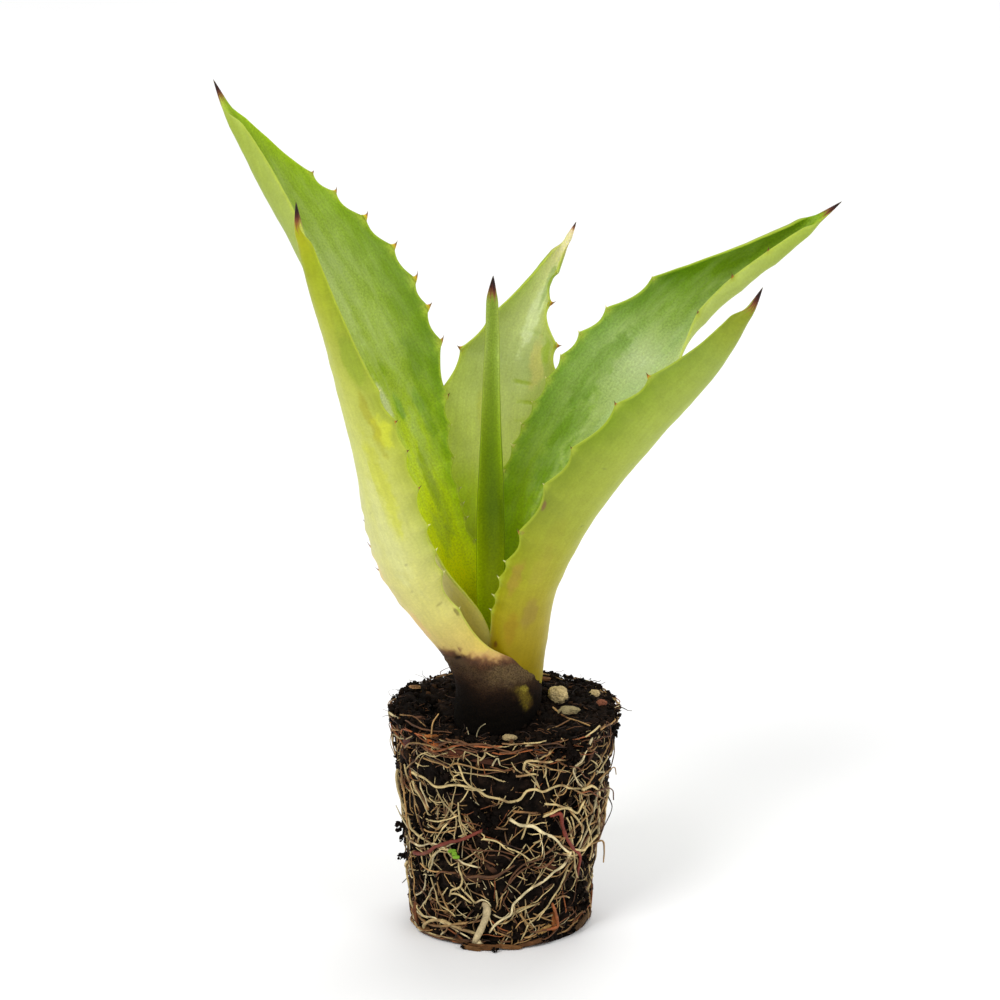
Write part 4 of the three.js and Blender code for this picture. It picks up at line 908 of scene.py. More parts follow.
class Nodes:
    """A material's node tree, with short ways to add and join nodes."""

    def __init__(self, name):
        self.material = bpy.data.materials.new(name)
        self.material.use_nodes = True
        self.tree = self.material.node_tree
        self.shader = self.tree.nodes["Principled BSDF"]

    def add(self, kind, **settings):
        node = self.tree.nodes.new(kind)
        for key, value in settings.items():
            setattr(node, key, value)
        return node

    def join(self, start, end):
        self.tree.links.new(start, end)

    def tint(self):
        return self.add("ShaderNodeAttribute", attribute_name="tint").outputs["Color"]

    def place(self, scale=(1, 1, 1), attribute=None):
        """Coordinates in millimetres: of the object, or of the surface where an attribute is named."""
        mapping = self.add("ShaderNodeMapping")
        mapping.inputs["Scale"].default_value = [k / MM for k in scale]
        if attribute:
            source = self.add("ShaderNodeAttribute", attribute_name=attribute).outputs["Vector"]
        else:
            source = self.add("ShaderNodeTexCoord").outputs["Object"]
        self.join(source, mapping.inputs["Vector"])
        return mapping.outputs["Vector"]

    def noise(self, vector, cell, detail=3.0, roughness=0.55):
        node = self.add("ShaderNodeTexNoise")
        node.inputs["Scale"].default_value = 1 / cell
        node.inputs["Detail"].default_value = detail
        node.inputs["Roughness"].default_value = roughness
        self.join(vector, node.inputs["Vector"])
        return node.outputs["Fac"]

    def clods(self, vector, cell):
        node = self.add("ShaderNodeTexVoronoi")
        node.inputs["Scale"].default_value = 1 / cell
        self.join(vector, node.inputs["Vector"])
        return node.outputs["Distance"]

    def spread(self, value, low, high, to_low=0.0, to_high=1.0):
        node = self.add("ShaderNodeMapRange")
        for key, number in (("From Min", low), ("From Max", high), ("To Min", to_low), ("To Max", to_high)):
            node.inputs[key].default_value = number
        self.join(value, node.inputs["Value"])
        return node.outputs["Result"]

    def times(self, a, b):
        node = self.add("ShaderNodeMath", operation="MULTIPLY")
        self.join(a, node.inputs[0])
        self.join(b, node.inputs[1])
        return node.outputs[0]

    def mix(self, share, a, b):
        """From colour a to colour b by a share, where a colour is a socket or three numbers."""
        node = self.add("ShaderNodeMix", data_type="RGBA")
        self.join(share, node.inputs[0])
        for value, socket in ((a, node.inputs[6]), (b, node.inputs[7])):
            if isinstance(value, tuple):
                socket.default_value = (*value, 1.0)
            else:
                self.join(value, socket)
        return node.outputs[2]

    def shade(self, colour, by):
        """The colour made darker or lighter by a number around 1."""
        node = self.add("ShaderNodeVectorMath", operation="SCALE")
        self.join(colour, node.inputs[0])
        self.join(by, node.inputs["Scale"])
        return node.outputs[0]

    def vary(self, colour, pattern, darkest, lightest):
        """The colour, from its darkest to its lightest, by a noise pattern."""
        return self.shade(colour, self.spread(pattern, 0.3, 0.7, darkest, lightest))

    def bump(self, height, distance, strength=1.0, after=None):
        node = self.add("ShaderNodeBump")
        node.inputs["Distance"].default_value = distance * MM
        node.inputs["Strength"].default_value = strength
        self.join(height, node.inputs["Height"])
        if after is not None:
            self.join(after, node.inputs["Normal"])
        return node.outputs["Normal"]

    def done(self, colour, roughness, normal, gloss=0.5):
        self.join(colour, self.shader.inputs["Base Color"])
        if isinstance(roughness, (int, float)):
            self.shader.inputs["Roughness"].default_value = roughness
        else:
            self.join(roughness, self.shader.inputs["Roughness"])
        self.join(normal, self.shader.inputs["Normal"])
        self.shader.inputs["Specular IOR Level"].default_value = gloss
        return self.material


def leaf_material():
    m = Nodes("leaf")
    spot = m.place((1, 1, 1), "place")
    streaks = m.noise(m.place((0.06, 1, 1), "place"), 1.3, 4)
    mottle = m.noise(spot, 6.0, 4, 0.65)
    grain = m.noise(spot, 0.75, 3, 0.6)
    colour = m.vary(m.tint(), streaks, 0.95, 1.05)
    colour = m.vary(colour, mottle, 0.93, 1.07)
    leather = m.add("ShaderNodeAttribute", attribute_name="leather").outputs["Fac"]
    colour = m.mix(leather, colour, m.vary(colour, grain, 0.8, 1.2))
    amount = m.add("ShaderNodeAttribute", attribute_name="bloom").outputs["Fac"]
    veil = m.noise(m.place((0.25, 1, 1), "place"), 4.0, 5, 0.62)
    bloom = m.times(m.spread(veil, 0.42, 0.68), amount)
    colour = m.mix(bloom, colour, tuple(linear(BLOOM_COLOUR)))
    dry = m.add("ShaderNodeAttribute", attribute_name="dry").outputs["Fac"]
    pores = m.noise(m.place(), 0.55, 5, 0.75)
    colour = m.mix(dry, colour, m.shade(colour, m.spread(pores, 0.36, 0.64, 0.35, 1.6)))
    normal = m.bump(streaks, 0.12, 0.4)
    normal = m.bump(grain, 0.08, 0.6, normal)
    normal = m.bump(m.times(pores, dry), 0.5, 1.0, normal)
    shader = m.shader.inputs
    shader["Subsurface Weight"].default_value = 0.4
    shader["Subsurface Radius"].default_value = (1.0, 1.0, 0.25)
    shader["Subsurface Scale"].default_value = 3 * MM
    return m.done(colour, m.spread(dry, 0, 1, 0.45, 0.95), normal, gloss=0.12)


def stem_material():
    m = Nodes("stem")
    spot = m.place()
    patches = m.noise(spot, 6.0, 5, 0.65)
    grain = m.noise(spot, 0.8, 4, 0.7)
    colour = m.vary(m.tint(), patches, 0.6, 1.4)
    colour = m.vary(colour, grain, 0.7, 1.3)
    normal = m.bump(grain, 0.3, 0.8)
    return m.done(colour, 0.8, normal, gloss=0.08)


def soil_material():
    m = Nodes("soil")
    spot = m.place()
    clod = m.clods(spot, 1.2)
    grain = m.noise(spot, 0.5, 5, 0.7)
    colour = m.vary(m.tint(), grain, 0.45, 1.7)
    normal = m.bump(clod, 0.5, 0.6)
    normal = m.bump(grain, 0.35, 0.9, normal)
    return m.done(colour, m.spread(grain, 0.3, 0.7, 0.55, 0.9), normal, gloss=0.05)


def root_material():
    m = Nodes("root")
    spot = m.place()
    patches = m.noise(spot, 3.0, 4, 0.6)
    grain = m.noise(spot, 0.4, 3, 0.6)
    colour = m.vary(m.tint(), patches, 0.6, 1.25)
    colour = m.vary(colour, grain, 0.8, 1.2)
    normal = m.bump(grain, 0.12, 0.6)
    return m.done(colour, 0.6, normal, gloss=0.3)


def stone_material():
    m = Nodes("stone")
    spot = m.place()
    pores = m.clods(spot, 0.7)
    grain = m.noise(spot, 0.45, 5, 0.7)
    colour = m.vary(m.tint(), grain, 0.7, 1.25)
    colour = m.shade(colour, m.spread(pores, 0.05, 0.35, 0.4, 1.0))
    normal = m.bump(pores, 0.35, 1.0)
    normal = m.bump(grain, 0.2, 0.8, normal)
    return m.done(colour, 0.9, normal, gloss=0.15)


def bark_material():
    m = Nodes("bark")
    spot = m.place()
    grain = m.noise(m.place((0.25, 1, 1)), 0.6, 4, 0.65)
    patches = m.noise(spot, 2.5, 4)
    colour = m.vary(m.tint(), grain, 0.6, 1.35)
    colour = m.vary(colour, patches, 0.7, 1.25)
    normal = m.bump(grain, 0.3, 0.8)
    return m.done(colour, 0.85, normal, gloss=0.15)


# ---------- Leaves ----------

class Leaf:
    """One leaf: its blade, its teeth and its end spine."""

    def __init__(self, name, spec):
        self.name = name
        self.spec = spec
        self.points = np.array(spec["spine"], float)
        steps = np.linalg.norm(np.diff(self.points, axis=0), axis=1)
        lengths = np.concatenate([[0], np.cumsum(steps)])
        self.length = lengths[-1]
        self.knots = lengths / self.length

    def at(self, s):
        return curve_at(self.knots, self.points, s)

    def frame(self, s):
        """The direction of growth, the way the inner face looks, and the viewer's right."""
        step = 1e-3
        along = unit(self.at(np.minimum(s + step, 1)) - self.at(np.maximum(s - step, 0)))
        angle = np.radians(from_table(self.spec["facing"], s))
        look = np.stack([np.cos(angle), np.sin(angle), np.zeros_like(angle)], -1)
        look = unit(look - np.sum(look * along, -1, keepdims=True) * along)
        return along, look, np.cross(along, look)

    def scallop(self, s, side):
        """How far a margin stands out: it swells to its teeth, and sags in hollow arcs between them."""
        swell, sag, teeth = MARGINS[self.name][side]
        if not teeth:
            return 0.25 * noise(np.stack([s * self.length, 0 * s, 0 * s], -1), 17.0, len(side))
        places = np.array([place for place, _ in teeth]) * self.length
        distance = s * self.length
        above = np.clip(np.searchsorted(places, distance), 1, max(len(places) - 1, 1))
        gap = places[above] - places[above - 1]
        share = np.clip((distance - places[above - 1]) / gap, 0, 1) ** 1.2
        arc = sag * np.minimum(gap / TOOTH_GAP, 1.25) * 4 * share * (1 - share)
        beyond = np.maximum(places[0] - distance, 0) + np.maximum(distance - places[-1], 0)
        return (swell - arc) * np.exp(-beyond / 7)

    def by_tooth(self, s, side):
        """1 at a tooth of the margin, and 0 away from it."""
        teeth = MARGINS[self.name][side][2]
        nearest = np.full(np.shape(s), 99.0)
        for place, size in teeth:
            nearest = np.minimum(nearest, np.abs(s - place) * self.length / (0.5 + size))
        return np.exp(-(nearest / 1.6) ** 2)

    def inner(self, s, across):
        """Points, normals and outward directions of the inner face, where across runs from -1 to 1."""
        along, look, right = self.frame(s)
        left = across < 0
        half = np.where(left, from_table(self.spec["left"], s), from_table(self.spec["right"], s))
        wave = np.where(left, self.scallop(s, "left"), self.scallop(s, "right")) * (1 - smooth(0.93, 0.97, s))
        width = np.maximum(half + wave - EDGE_INSET, 0.04)
        curls = [from_table(self.spec[name], s) for name in ("curlLeft", "curlRight")]
        curl = np.radians(np.where(left, *curls))
        angle = curl * np.abs(across)
        sine, cosine = np.sin(angle)[..., None], np.cos(angle)[..., None]
        side = np.where(left, -1.0, 1.0)[..., None]
        reach = (width / curl)[..., None]
        point = self.at(s) + right * side * reach * sine + look * reach * (1 - cosine)
        normal = look * cosine - right * side * sine
        outward = right * side * cosine + look * sine
        return point, normal, outward, width, along

    def thickness(self, s, across, width):
        edge = np.minimum(EDGE_THICKNESS, 0.5 * width + 0.05)
        rib = from_table(self.spec["thick"], s)
        return edge + np.maximum(rib - edge, 0) * (1 - across ** 2)

    def relief(self, s, across, width, point, face):
        """How far a face is raised, by its waves, its prints and the dry foot of the front left leaf."""
        taper = 1 - smooth(0.9, 0.95, s)
        rise = 0.32 * noise(point, 15.0, 5) + 0.14 * noise(point, 5.0, 6)
        rise = rise * (1 if face == "inner" else -1) + 0.03 * noise(point, 1.6, 7)
        rise = rise - PRINT_DEPTH * self.print_line(s, across, width, face)
        for where, place, middle, long, wide, _, strength in MARKS.get(self.name, []):
            if where == face and min(long, wide) < DENT_WIDTH:
                inside = self.blotch(s, across, width, place, middle, long, wide, point)
                rise = rise - MARK_DEPTH * strength * inside
        if self.name == "leaf_front_left" and face == "outer":
            dry = 1 - smooth(DRY_END, DRY_END + 5, point[..., 2] + 1.5 * noise(point, 4.0, 12))
            crust = smooth(90, 94, point[..., 2]) * smooth(-0.2, 0.5, noise(point, 7.0, 14) + 0.25)
            wrinkles = 0.2 * noise(point * [1, 1, 2.2], 2.4, 13) + 0.12 * noise(point, 1.2, 15)
            rise = rise + dry * (wrinkles - 0.3)
            rise = rise + 0.4 * dry * crust
        return rise * taper

    def print_line(self, s, across, width, face):
        """1 on the line that another leaf's margin has pressed into this face."""
        line = np.zeros(np.shape(s))
        spot = np.stack([s * self.length, across * width], -1)
        for where, route in PRINTS.get(self.name, []):
            if where != face:
                continue
            for (s0, a0), (s1, a1) in zip(route, route[1:]):
                first = np.stack([s0 * self.length + 0 * s, a0 * width], -1)
                step = np.stack([(s1 - s0) * self.length + 0 * s, (a1 - a0) * width], -1)
                share = np.clip(((spot - first) * step).sum(-1) / (step * step).sum(-1), 0, 1)
                away = np.linalg.norm(spot - first - share[..., None] * step, axis=-1)
                line = np.maximum(line, np.exp(-(away / PRINT_WIDTH) ** 2))
        return line

    def blotch(self, s, across, width, place, middle, long, wide, point):
        """1 inside a ragged mark on a face, and 0 outside it."""
        reach = np.hypot((s - place) * self.length / long, (across - middle) * width / wide)
        return 1 - smooth(0.6, 1.15, reach + 0.28 * noise(point, 2.2, 17) + 0.16 * noise(point, 0.8, 18))

    def skin(self):
        """The blade's rings: the inner face from left to right, the right rim, the outer face back, and
        the left rim."""
        rows = int(self.length / ROW_STEP) + 1
        quarter = math.pi / 2 * COLUMN_CROWDING
        columns = np.sin(np.linspace(-1, 1, COLUMNS) * math.pi / 2 * COLUMN_CROWDING) / math.sin(quarter)
        s, across = np.meshgrid(np.linspace(0, 1, rows), columns, indexing="ij")
        point, normal, outward, width, _ = self.inner(s, across)
        thick = self.thickness(s, across, width)
        front = point + normal * self.relief(s, across, width, point, "inner")[..., None]
        back = point - normal * thick[..., None]
        back = back - normal * self.relief(s, across, width, back, "outer")[..., None]
        turn = np.radians(np.linspace(RIM_TURN, -RIM_TURN, RIM_POINTS))
        rims = []
        for column in (-1, 0):
            a, b = front[:, column], back[:, column]
            half = (a - b) / 2
            swell = outward[:, column] * np.linalg.norm(half, axis=-1, keepdims=True)
            rims.append(np.stack([(a + b) / 2 + half * math.sin(t) + swell * math.cos(t) for t in turn], 1))
        ring = np.concatenate([front, rims[0], back[:, ::-1], rims[1][:, ::-1]], 1)
        sides = np.concatenate([columns, np.full(RIM_POINTS, 1.0), columns[::-1], np.full(RIM_POINTS, -1.0)])
        faces = np.concatenate([np.zeros(COLUMNS), np.linspace(0, 1, RIM_POINTS), np.ones(COLUMNS),
                                np.linspace(1, 0, RIM_POINTS)])
        wide = np.concatenate([width, width[:, -1:].repeat(RIM_POINTS, 1), width[:, ::-1],
                               width[:, :1].repeat(RIM_POINTS, 1)], 1)
        return s[:, 0], self.rounded(s[:, 0], ring), sides, faces, wide

    def rounded(self, s, ring):
        """The rings, drawn in to a smooth round needle at the tip."""
        _, look, right = self.frame(s)
        centre = self.at(s) - look * from_table(self.spec["thick"], s)[:, None] / 2
        to_tip = (1 - s) * self.length / SPINE_SCALE.get(self.name, 1.0) ** 0.5
        taper = np.clip(to_tip / ((1 - SPINE_START) * self.length), 0, 1)
        radius = NEEDLE_RADIUS * SPINE_SCALE.get(self.name, 1.0) ** 0.5 * taper ** 0.85 + NEEDLE_TIP
        count = ring.shape[1]
        turn = np.pi * (1 - 2 * np.arange(count) / count)
        circle = centre[:, None] + radius[:, None, None] * (
            right[:, None] * np.cos(turn)[None, :, None] + look[:, None] * np.sin(turn)[None, :, None])
        share = smooth(SPINE_START - 0.02, SPINE_START + 0.02, s)[:, None, None]
        return ring * (1 - share) + circle * share

    def colours(self, s, points, sides, faces, width):
        """The colour of each point of the rings: faces with their painted light and shade, marks, print,
        margins and end spine.
        """
        table = LEAF_COLOURS_AND_PAINTED_LIGHT[self.name]
        s, sides, faces = (np.broadcast_to(v, points.shape[:2]) for v in (s[:, None], sides, faces))
        away = np.abs(sides)[..., None] ** 1.6
        tints = {}
        for face in ("inner", "outer"):
            rib, left, right = (colour_steps(table[face], s, k) for k in (1, 2, 3))
            margin = np.where(sides[..., None] < 0, left, right)
            tint = rib * (1 - away) + margin * away
            if self.name == "leaf_front_left":
                tint = self.sheath(points, tint, 1.0 if face == "outer" else 0.4)
            for where, place, middle, long, wide, colour, strength in MARKS.get(self.name, []):
                if where == face:
                    inside = self.blotch(s, sides, width, place, middle, long, wide, points)
                    share = strength * inside[..., None]
                    tint = tint * (1 - share) + np.array(colour) * share
            line = 0.55 * self.print_line(s, sides, width, face)[..., None]
            tints[face] = tint * (1 - line) + np.array(PRINT_COLOUR) * line
        tint = tints["inner"] * (1 - faces[..., None]) + tints["outer"] * faces[..., None]
        line = np.zeros(s.shape)
        for side, sign in (("left", -1), ("right", 1)):
            if MARGINS[self.name][side][2]:
                edge = smooth(0.955, 0.995, sign * sides)
                near = smooth(0.86, 0.99, sign * sides) * self.by_tooth(s, side)
                line = np.maximum(line, np.maximum(0.5 * edge, 0.9 * near))
        line = line * smooth(0.12, 0.2, s) * (1 - smooth(0.9, 0.95, s))
        tint = tint * (1 - line[..., None]) + np.array(MARGIN_COLOUR) * line[..., None]
        to_tip = (1 - s) * self.length / SPINE_SCALE.get(self.name, 1.0)
        streak = 1.3 * noise(np.stack([sides * 6, faces * 4, to_tip * 0.12], -1), 1.0, 11)
        spine = colour_steps(SPINE_COLOURS, to_tip + streak)
        share = 1 - smooth(5.4, 10.0, to_tip + 2.2 * streak)[..., None]
        return linear(np.clip(tint * (1 - share) + spine * share, 0, 255))

    def sheath(self, points, tint, strength):
        """The colours of the dry foot, over the leaf's own."""
        height = points[..., 2] + 1.1 * noise(points, 6.0, 21) + 1.2 * noise(points, 2.2, 22)
        height = height + noise(points, 0.9, 24)
        dry = colour_steps(SHEATH_COLOURS, height - 4.0 * (1 - smooth(-16, -7, points[..., 0])))
        crust = smooth(92, 94.5, height) * (1 - smooth(98.5, 100.5, height)) * smooth(-8, -2, points[..., 0])
        crust = (0.8 * crust * smooth(-0.35, 0.15, noise(points, 3.0, 23) + 0.3))[..., None]
        dry = dry * (1 - crust) + np.array(CRUST_COLOUR) * crust
        share = strength * (1 - smooth(102.5, 107, height))[..., None]
        return tint * (1 - share) + dry * share

    def teeth(self, heap):
        """Adds the teeth of both margins, each a hooked cone with a flared foot."""
        steps = np.linspace(0, 1, TOOTH_RINGS)
        around = TOOTH_SIDES
        turn = 2 * np.pi * np.arange(around) / around
        for side, sign in (("left", -1.0), ("right", 1.0)):
            for number, (place, size) in enumerate(MARGINS[self.name][side][2]):
                s = np.array([place])
                point, normal, outward, width, along = (v[0] for v in self.inner(s, np.array([sign])))
                height = TOOTH_HEIGHT * size * (1 + 0.15 * math.sin(7.1 * number))
                middle = point - normal * self.thickness(s, sign, width) / 2
                outward = unit(outward + 0.5 * sign * self.frame(s)[2][0])
                reach = -TOOTH_SUNK + (height + TOOTH_SUNK) * steps
                lean = (0.6 + 0.25 * math.sin(3.7 * number)) * height * steps ** 2.2
                centre = middle + reach[:, None] * outward + lean[:, None] * along
                flare = (1 - steps) ** 1.6
                wide = 0.05 + 0.3 * size ** 0.5 * (1 - steps) + 1.3 * flare * size ** 0.5
                deep = 0.05 + 0.27 * size ** 0.5 * (1 - steps) + 0.2 * flare
                rings = (centre[:, None] + wide[:, None, None] * np.cos(turn)[None, :, None] * along
                         + deep[:, None, None] * np.sin(turn)[None, :, None] * normal)
                table = TOOTH_COLOURS if size >= PALE_SIZE else PALE_TOOTH_COLOURS
                tint = linear(colour_steps(table, np.repeat(steps, around)))
                tip = len(steps) * around
                heap.add(np.concatenate([rings.reshape(-1, 3), centre[-1:] + 0.12 * outward]),
                         grid_quads(len(steps), around), fan(tip - around, around, tip),
                         np.concatenate([tint, tint[-1:]]))

    def build(self, material):
        heap = Heap()
        s, ring, sides, faces, width = self.skin()
        rows, around = ring.shape[:2]
        tint = self.colours(s, ring, sides, faces, width)
        points = np.concatenate([ring.reshape(-1, 3), self.at(np.array([1.0]))])
        tris = fan((rows - 1) * around, around, rows * around)
        for first, hub in ((COLUMNS - 1, COLUMNS - 1), (2 * COLUMNS + RIM_POINTS - 1, 0)):
            rim = [(first + k) % around for k in range(RIM_POINTS + 2)]
            tris += [(b, a, hub) for a, b in zip(rim, rim[1:]) if hub not in (a, b)]
        inner = np.arange(COLUMNS - 1)
        outer = 2 * COLUMNS + RIM_POINTS - 1 - inner
        foot = np.stack([inner + 1, inner, outer, outer - 1], -1)
        heap.add(points, np.concatenate([grid_quads(rows, around), foot]), tris,
                 np.concatenate([tint.reshape(-1, 3), tint[-1, :1]]))
        blade = rows * around
        self.teeth(heap)
        piece = heap.build(f"{self.name}_skin", material)
        grid = np.ones((rows, around))
        place = np.zeros((heap.count, 3))
        place[:blade] = np.stack([grid * (s * self.length)[:, None], sides * width, grid * faces * 30],
                                 -1).reshape(-1, 3) * MM
        bloom = np.zeros(heap.count)
        inside = (1 - faces) * (1 - 0.8 * np.abs(sides))
        fade = smooth(0.18, 0.4, s) * (1 - smooth(0.8, 0.93, s))
        bloom[:blade] = (BLOOM[self.name] * inside[None, :] * fade[:, None]).ravel()
        add_attribute(piece, "place", "FLOAT_VECTOR", "vector", place)
        leather = np.zeros(heap.count)
        leather[:blade] = (grid * GRAIN.get(self.name, 1.0) * (1 - 0.7 * faces)).ravel()
        dry = np.zeros(heap.count)
        if self.name == "leaf_front_left":
            dry[:blade] = ((1 - smooth(DRY_END, DRY_END + 4, ring[..., 2])) * faces).ravel()
        add_attribute(piece, "dry", "FLOAT", "value", dry)
        add_attribute(piece, "bloom", "FLOAT", "value", bloom)
        add_attribute(piece, "leather", "FLOAT", "value", leather)
        return finish_piece(piece, self.name, self.name)


# ---------- Soil ----------

def wall_radius(angle, height):
    """The wall of the root ball, with angle in degrees."""
    straight = BALL_FOOT_RADIUS + (BALL_RIM_RADIUS - BALL_FOOT_RADIUS) * height / BALL_HEIGHT
    turn = np.radians(angle)
    spot = np.stack([straight * np.cos(turn), straight * np.sin(turn), height + 0 * straight], -1)
    waist = smooth(0, 20, height)
    lean = FOOT_LEAN * np.cos(turn) * (1 - smooth(15, 50, height))
    return straight - WALL_INSET * waist + lean + 0.8 * noise(spot, 14.0, 31) + 0.4 * noise(spot, 6.0, 32)


def ground_height(x, y):
    distance = np.hypot(x - NECK_X, y)
    turn = np.arctan2(y, x - NECK_X) - math.radians(HOLLOW_ANGLE)
    side = 0.5 + 0.5 * np.cos(turn)
    dip = HOLLOW_DEPTH * side * (1 - smooth(NECK_RADIUS + 3, HOLLOW_REACH, distance))
    mound = MOUND_HEIGHT * (1 - side) * (1 - smooth(NECK_RADIUS, MOUND_REACH, distance))
    spot = np.stack([x, y, 0 * x], -1)
    return BALL_HEIGHT - GROUND_DROP - dip + mound + 0.9 * noise(spot, 9.0, 33) + 0.4 * noise(spot, 4.5, 34)


def polar(angle, distance, height):
    turn = np.radians(angle)
    return np.stack([distance * np.cos(turn), distance * np.sin(turn), height + 0 * turn], -1)


SOIL_AROUND = 560  # points round the ball
SOIL_FOOT_ROWS = 20
SOIL_WALL_ROWS = 165
SOIL_SUNK = 0.9  # the crumbly surface rises from this far inside the wall
SOIL_HEART_COLOUR = (20, 14, 10)
# Soil colours by how far the surface rises: painted shade, darkest in the creases, voids and hollows, and
# lighter on the tops of the clods.
SOIL_COLOURS_AND_PAINTED_SHADE = [
    (-2.5, (4, 2, 1)), (-1.2, (7, 4, 3)), (0, (14, 9, 6)), (0.8, (27, 18, 12)), (1.6, (44, 31, 21)),
]


def rim_drop(inset):
    """How far the ground falls away near the rim, at a distance inside it."""
    return 1.6 * (1 - smooth(0.4, 3.5, inset))


def soil_ball(material):
    """The ball as rings of points: up from the foot, up the wall, and in over the ground."""
    around = SOIL_AROUND
    turn = np.arange(around) * 360 / around
    rows = []
    outs = []
    for radius in np.linspace(1, BALL_FLAT_RADIUS, SOIL_FOOT_ROWS):
        rows.append(polar(turn, np.full(around, radius), 0.0))
        outs.append(np.broadcast_to([0, 0, -0.2], (around, 3)))
    for height in np.linspace(0.6, BALL_HEIGHT - 2.5, SOIL_WALL_ROWS):
        rows.append(polar(turn, wall_radius(turn, np.full(around, height)) - SOIL_SUNK, height))
        outs.append(polar(turn, np.ones(around), 0.0))
    rim = wall_radius(turn, np.full(around, BALL_HEIGHT - 1)) - SOIL_SUNK
    for inset in np.concatenate([np.linspace(0.8, 4, 8), np.linspace(4.5, 33, 64)]):
        flat = polar(turn, rim - inset, 0.0)
        flat[:, 2] = ground_height(flat[:, 0], flat[:, 1]) - rim_drop(inset)
        lean = 1 - smooth(1.0, 4.0, inset)
        rows.append(flat)
        outs.append(unit(polar(turn, np.full(around, 0.05 + lean), 1.0)))
    points = np.stack(rows)
    out = np.stack(outs)
    on_wall = 1 - smooth(BALL_HEIGHT - 6, BALL_HEIGHT, points[..., 2])
    rise = 1.7 * (0.5 - cells(points, 4.6, 41)) + 0.9 * (0.5 - cells(points, 1.9, 45))
    rise += 0.45 * noise(points, 2.6, 47) + 0.3 * noise(points, 0.9, 48)
    rise -= on_wall * 2.4 * smooth(0.05, 0.7, noise(points, 9.0, 50) + 0.3 * noise(points, 3.0, 51))
    points = points + out * rise[..., None]
    points[..., 2] = np.maximum(points[..., 2], 0.0)
    # The soil is painted darker where its surface sinks and lighter where it rises: painted shade and light.
    tint = linear(colour_steps(SOIL_COLOURS_AND_PAINTED_SHADE, rise + 0.6 * noise(points, 7.0, 49)))
    count = len(points)
    heap = Heap()
    ends = np.array([[0, 0, 0.0], [NECK_X, 0, float(points[-1, :, 2].mean())]])
    caps = fan(0, around, count * around, inwards=True)
    caps += fan((count - 1) * around, around, count * around + 1)
    heap.add(np.concatenate([points.reshape(-1, 3), ends]), grid_quads(count, around), caps,
             np.concatenate([tint.reshape(-1, 3), linear([SOIL_HEART_COLOUR] * 2)]))
    return finish_piece(heap.build("soil_crumbly", material), "soil", "soil_ball")


def icosphere(rounds):
    """Corners and triangles of a ball of radius 1."""
    golden = (1 + 5 ** 0.5) / 2
    points = [
        (-1, golden, 0), (1, golden, 0), (-1, -golden, 0), (1, -golden, 0),
        (0, -1, golden), (0, 1, golden), (0, -1, -golden), (0, 1, -golden),
        (golden, 0, -1), (golden, 0, 1), (-golden, 0, -1), (-golden, 0, 1),
    ]
    tris = [
        (0, 11, 5), (0, 5, 1), (0, 1, 7), (0, 7, 10), (0, 10, 11),
        (1, 5, 9), (5, 11, 4), (11, 10, 2), (10, 7, 6), (7, 1, 8),
        (3, 9, 4), (3, 4, 2), (3, 2, 6), (3, 6, 8), (3, 8, 9),
        (4, 9, 5), (2, 4, 11), (6, 2, 10), (8, 6, 7), (9, 8, 1),
    ]
    points = [np.array(p) / np.linalg.norm(p) for p in points]
    for _ in range(rounds):
        middles = {}
        finer = []
        for tri in tris:
            middle = []
            for a, b in zip(tri, tri[1:] + tri[:1]):
                key = (min(a, b), max(a, b))
                if key not in middles:
                    middles[key] = len(points)
                    points.append(unit(points[a] + points[b]))
                middle.append(middles[key])
            a, b, c = tri
            x, y, z = middle
            finer += [(a, x, z), (b, y, x), (c, z, y), (x, y, z)]
        tris = finer
    return np.array(points), np.array(tris)


def turned(points, random):
    """Points turned by a random rotation."""
    q = unit(random.normal(size=4))
    w, x, y, z = q
    rotation = np.array([
        [1 - 2 * (y * y + z * z), 2 * (x * y - w * z), 2 * (x * z + w * y)],
        [2 * (x * y + w * z), 1 - 2 * (x * x + z * z), 2 * (y * z - w * x)],
        [2 * (x * z - w * y), 2 * (y * z + w * x), 1 - 2 * (x * x + y * y)]])
    return points @ rotation.T


BALLS = [icosphere(rounds) for rounds in range(5)]


def ground_spot(random, nearest=0.1):
    """A point drawn at random on the ground."""
    distance = BALL_RIM_RADIUS * math.sqrt(random.uniform(nearest, 0.97))
    spot = polar(np.array(random.uniform(0, 360)), distance, 0.0)
    spot[2] = ground_height(spot[0], spot[1]) - rim_drop(BALL_RIM_RADIUS - distance)
    return spot


def wall_spot(angle, height, lift):
    """A point at a distance from the wall, which is negative inside the soil."""
    turn = np.array(float(angle))
    return polar(turn, wall_radius(turn, np.array(float(height))) + lift, height)


def lump(heap, spot, size, stretch, random, tint):
    """A rough crumb or clod."""
    ball, tris = BALLS[1 if size < 1.3 else 2]
    rough = ball * (1 + 0.26 * random.normal(size=(len(ball), 1)).clip(-1.5, 1.5))
    points = turned(rough * stretch, random) * size + spot
    points[:, 2] = np.maximum(points[:, 2], 0.02)
    heap.add(points, tris=tris, tint=tint)


CRUMB_SEED = 5
CRUMB_COUNT = 4200
CRUMB_COLOUR = (30, 20, 13)
BROWN_CRUMB_COLOUR = (84, 56, 34)
BROWN_CRUMB_SHARE = 0.06
CLOD_CRUMBS = 9  # crumbs that make up one clod
CLOD_COLOUR = (20, 13, 9)


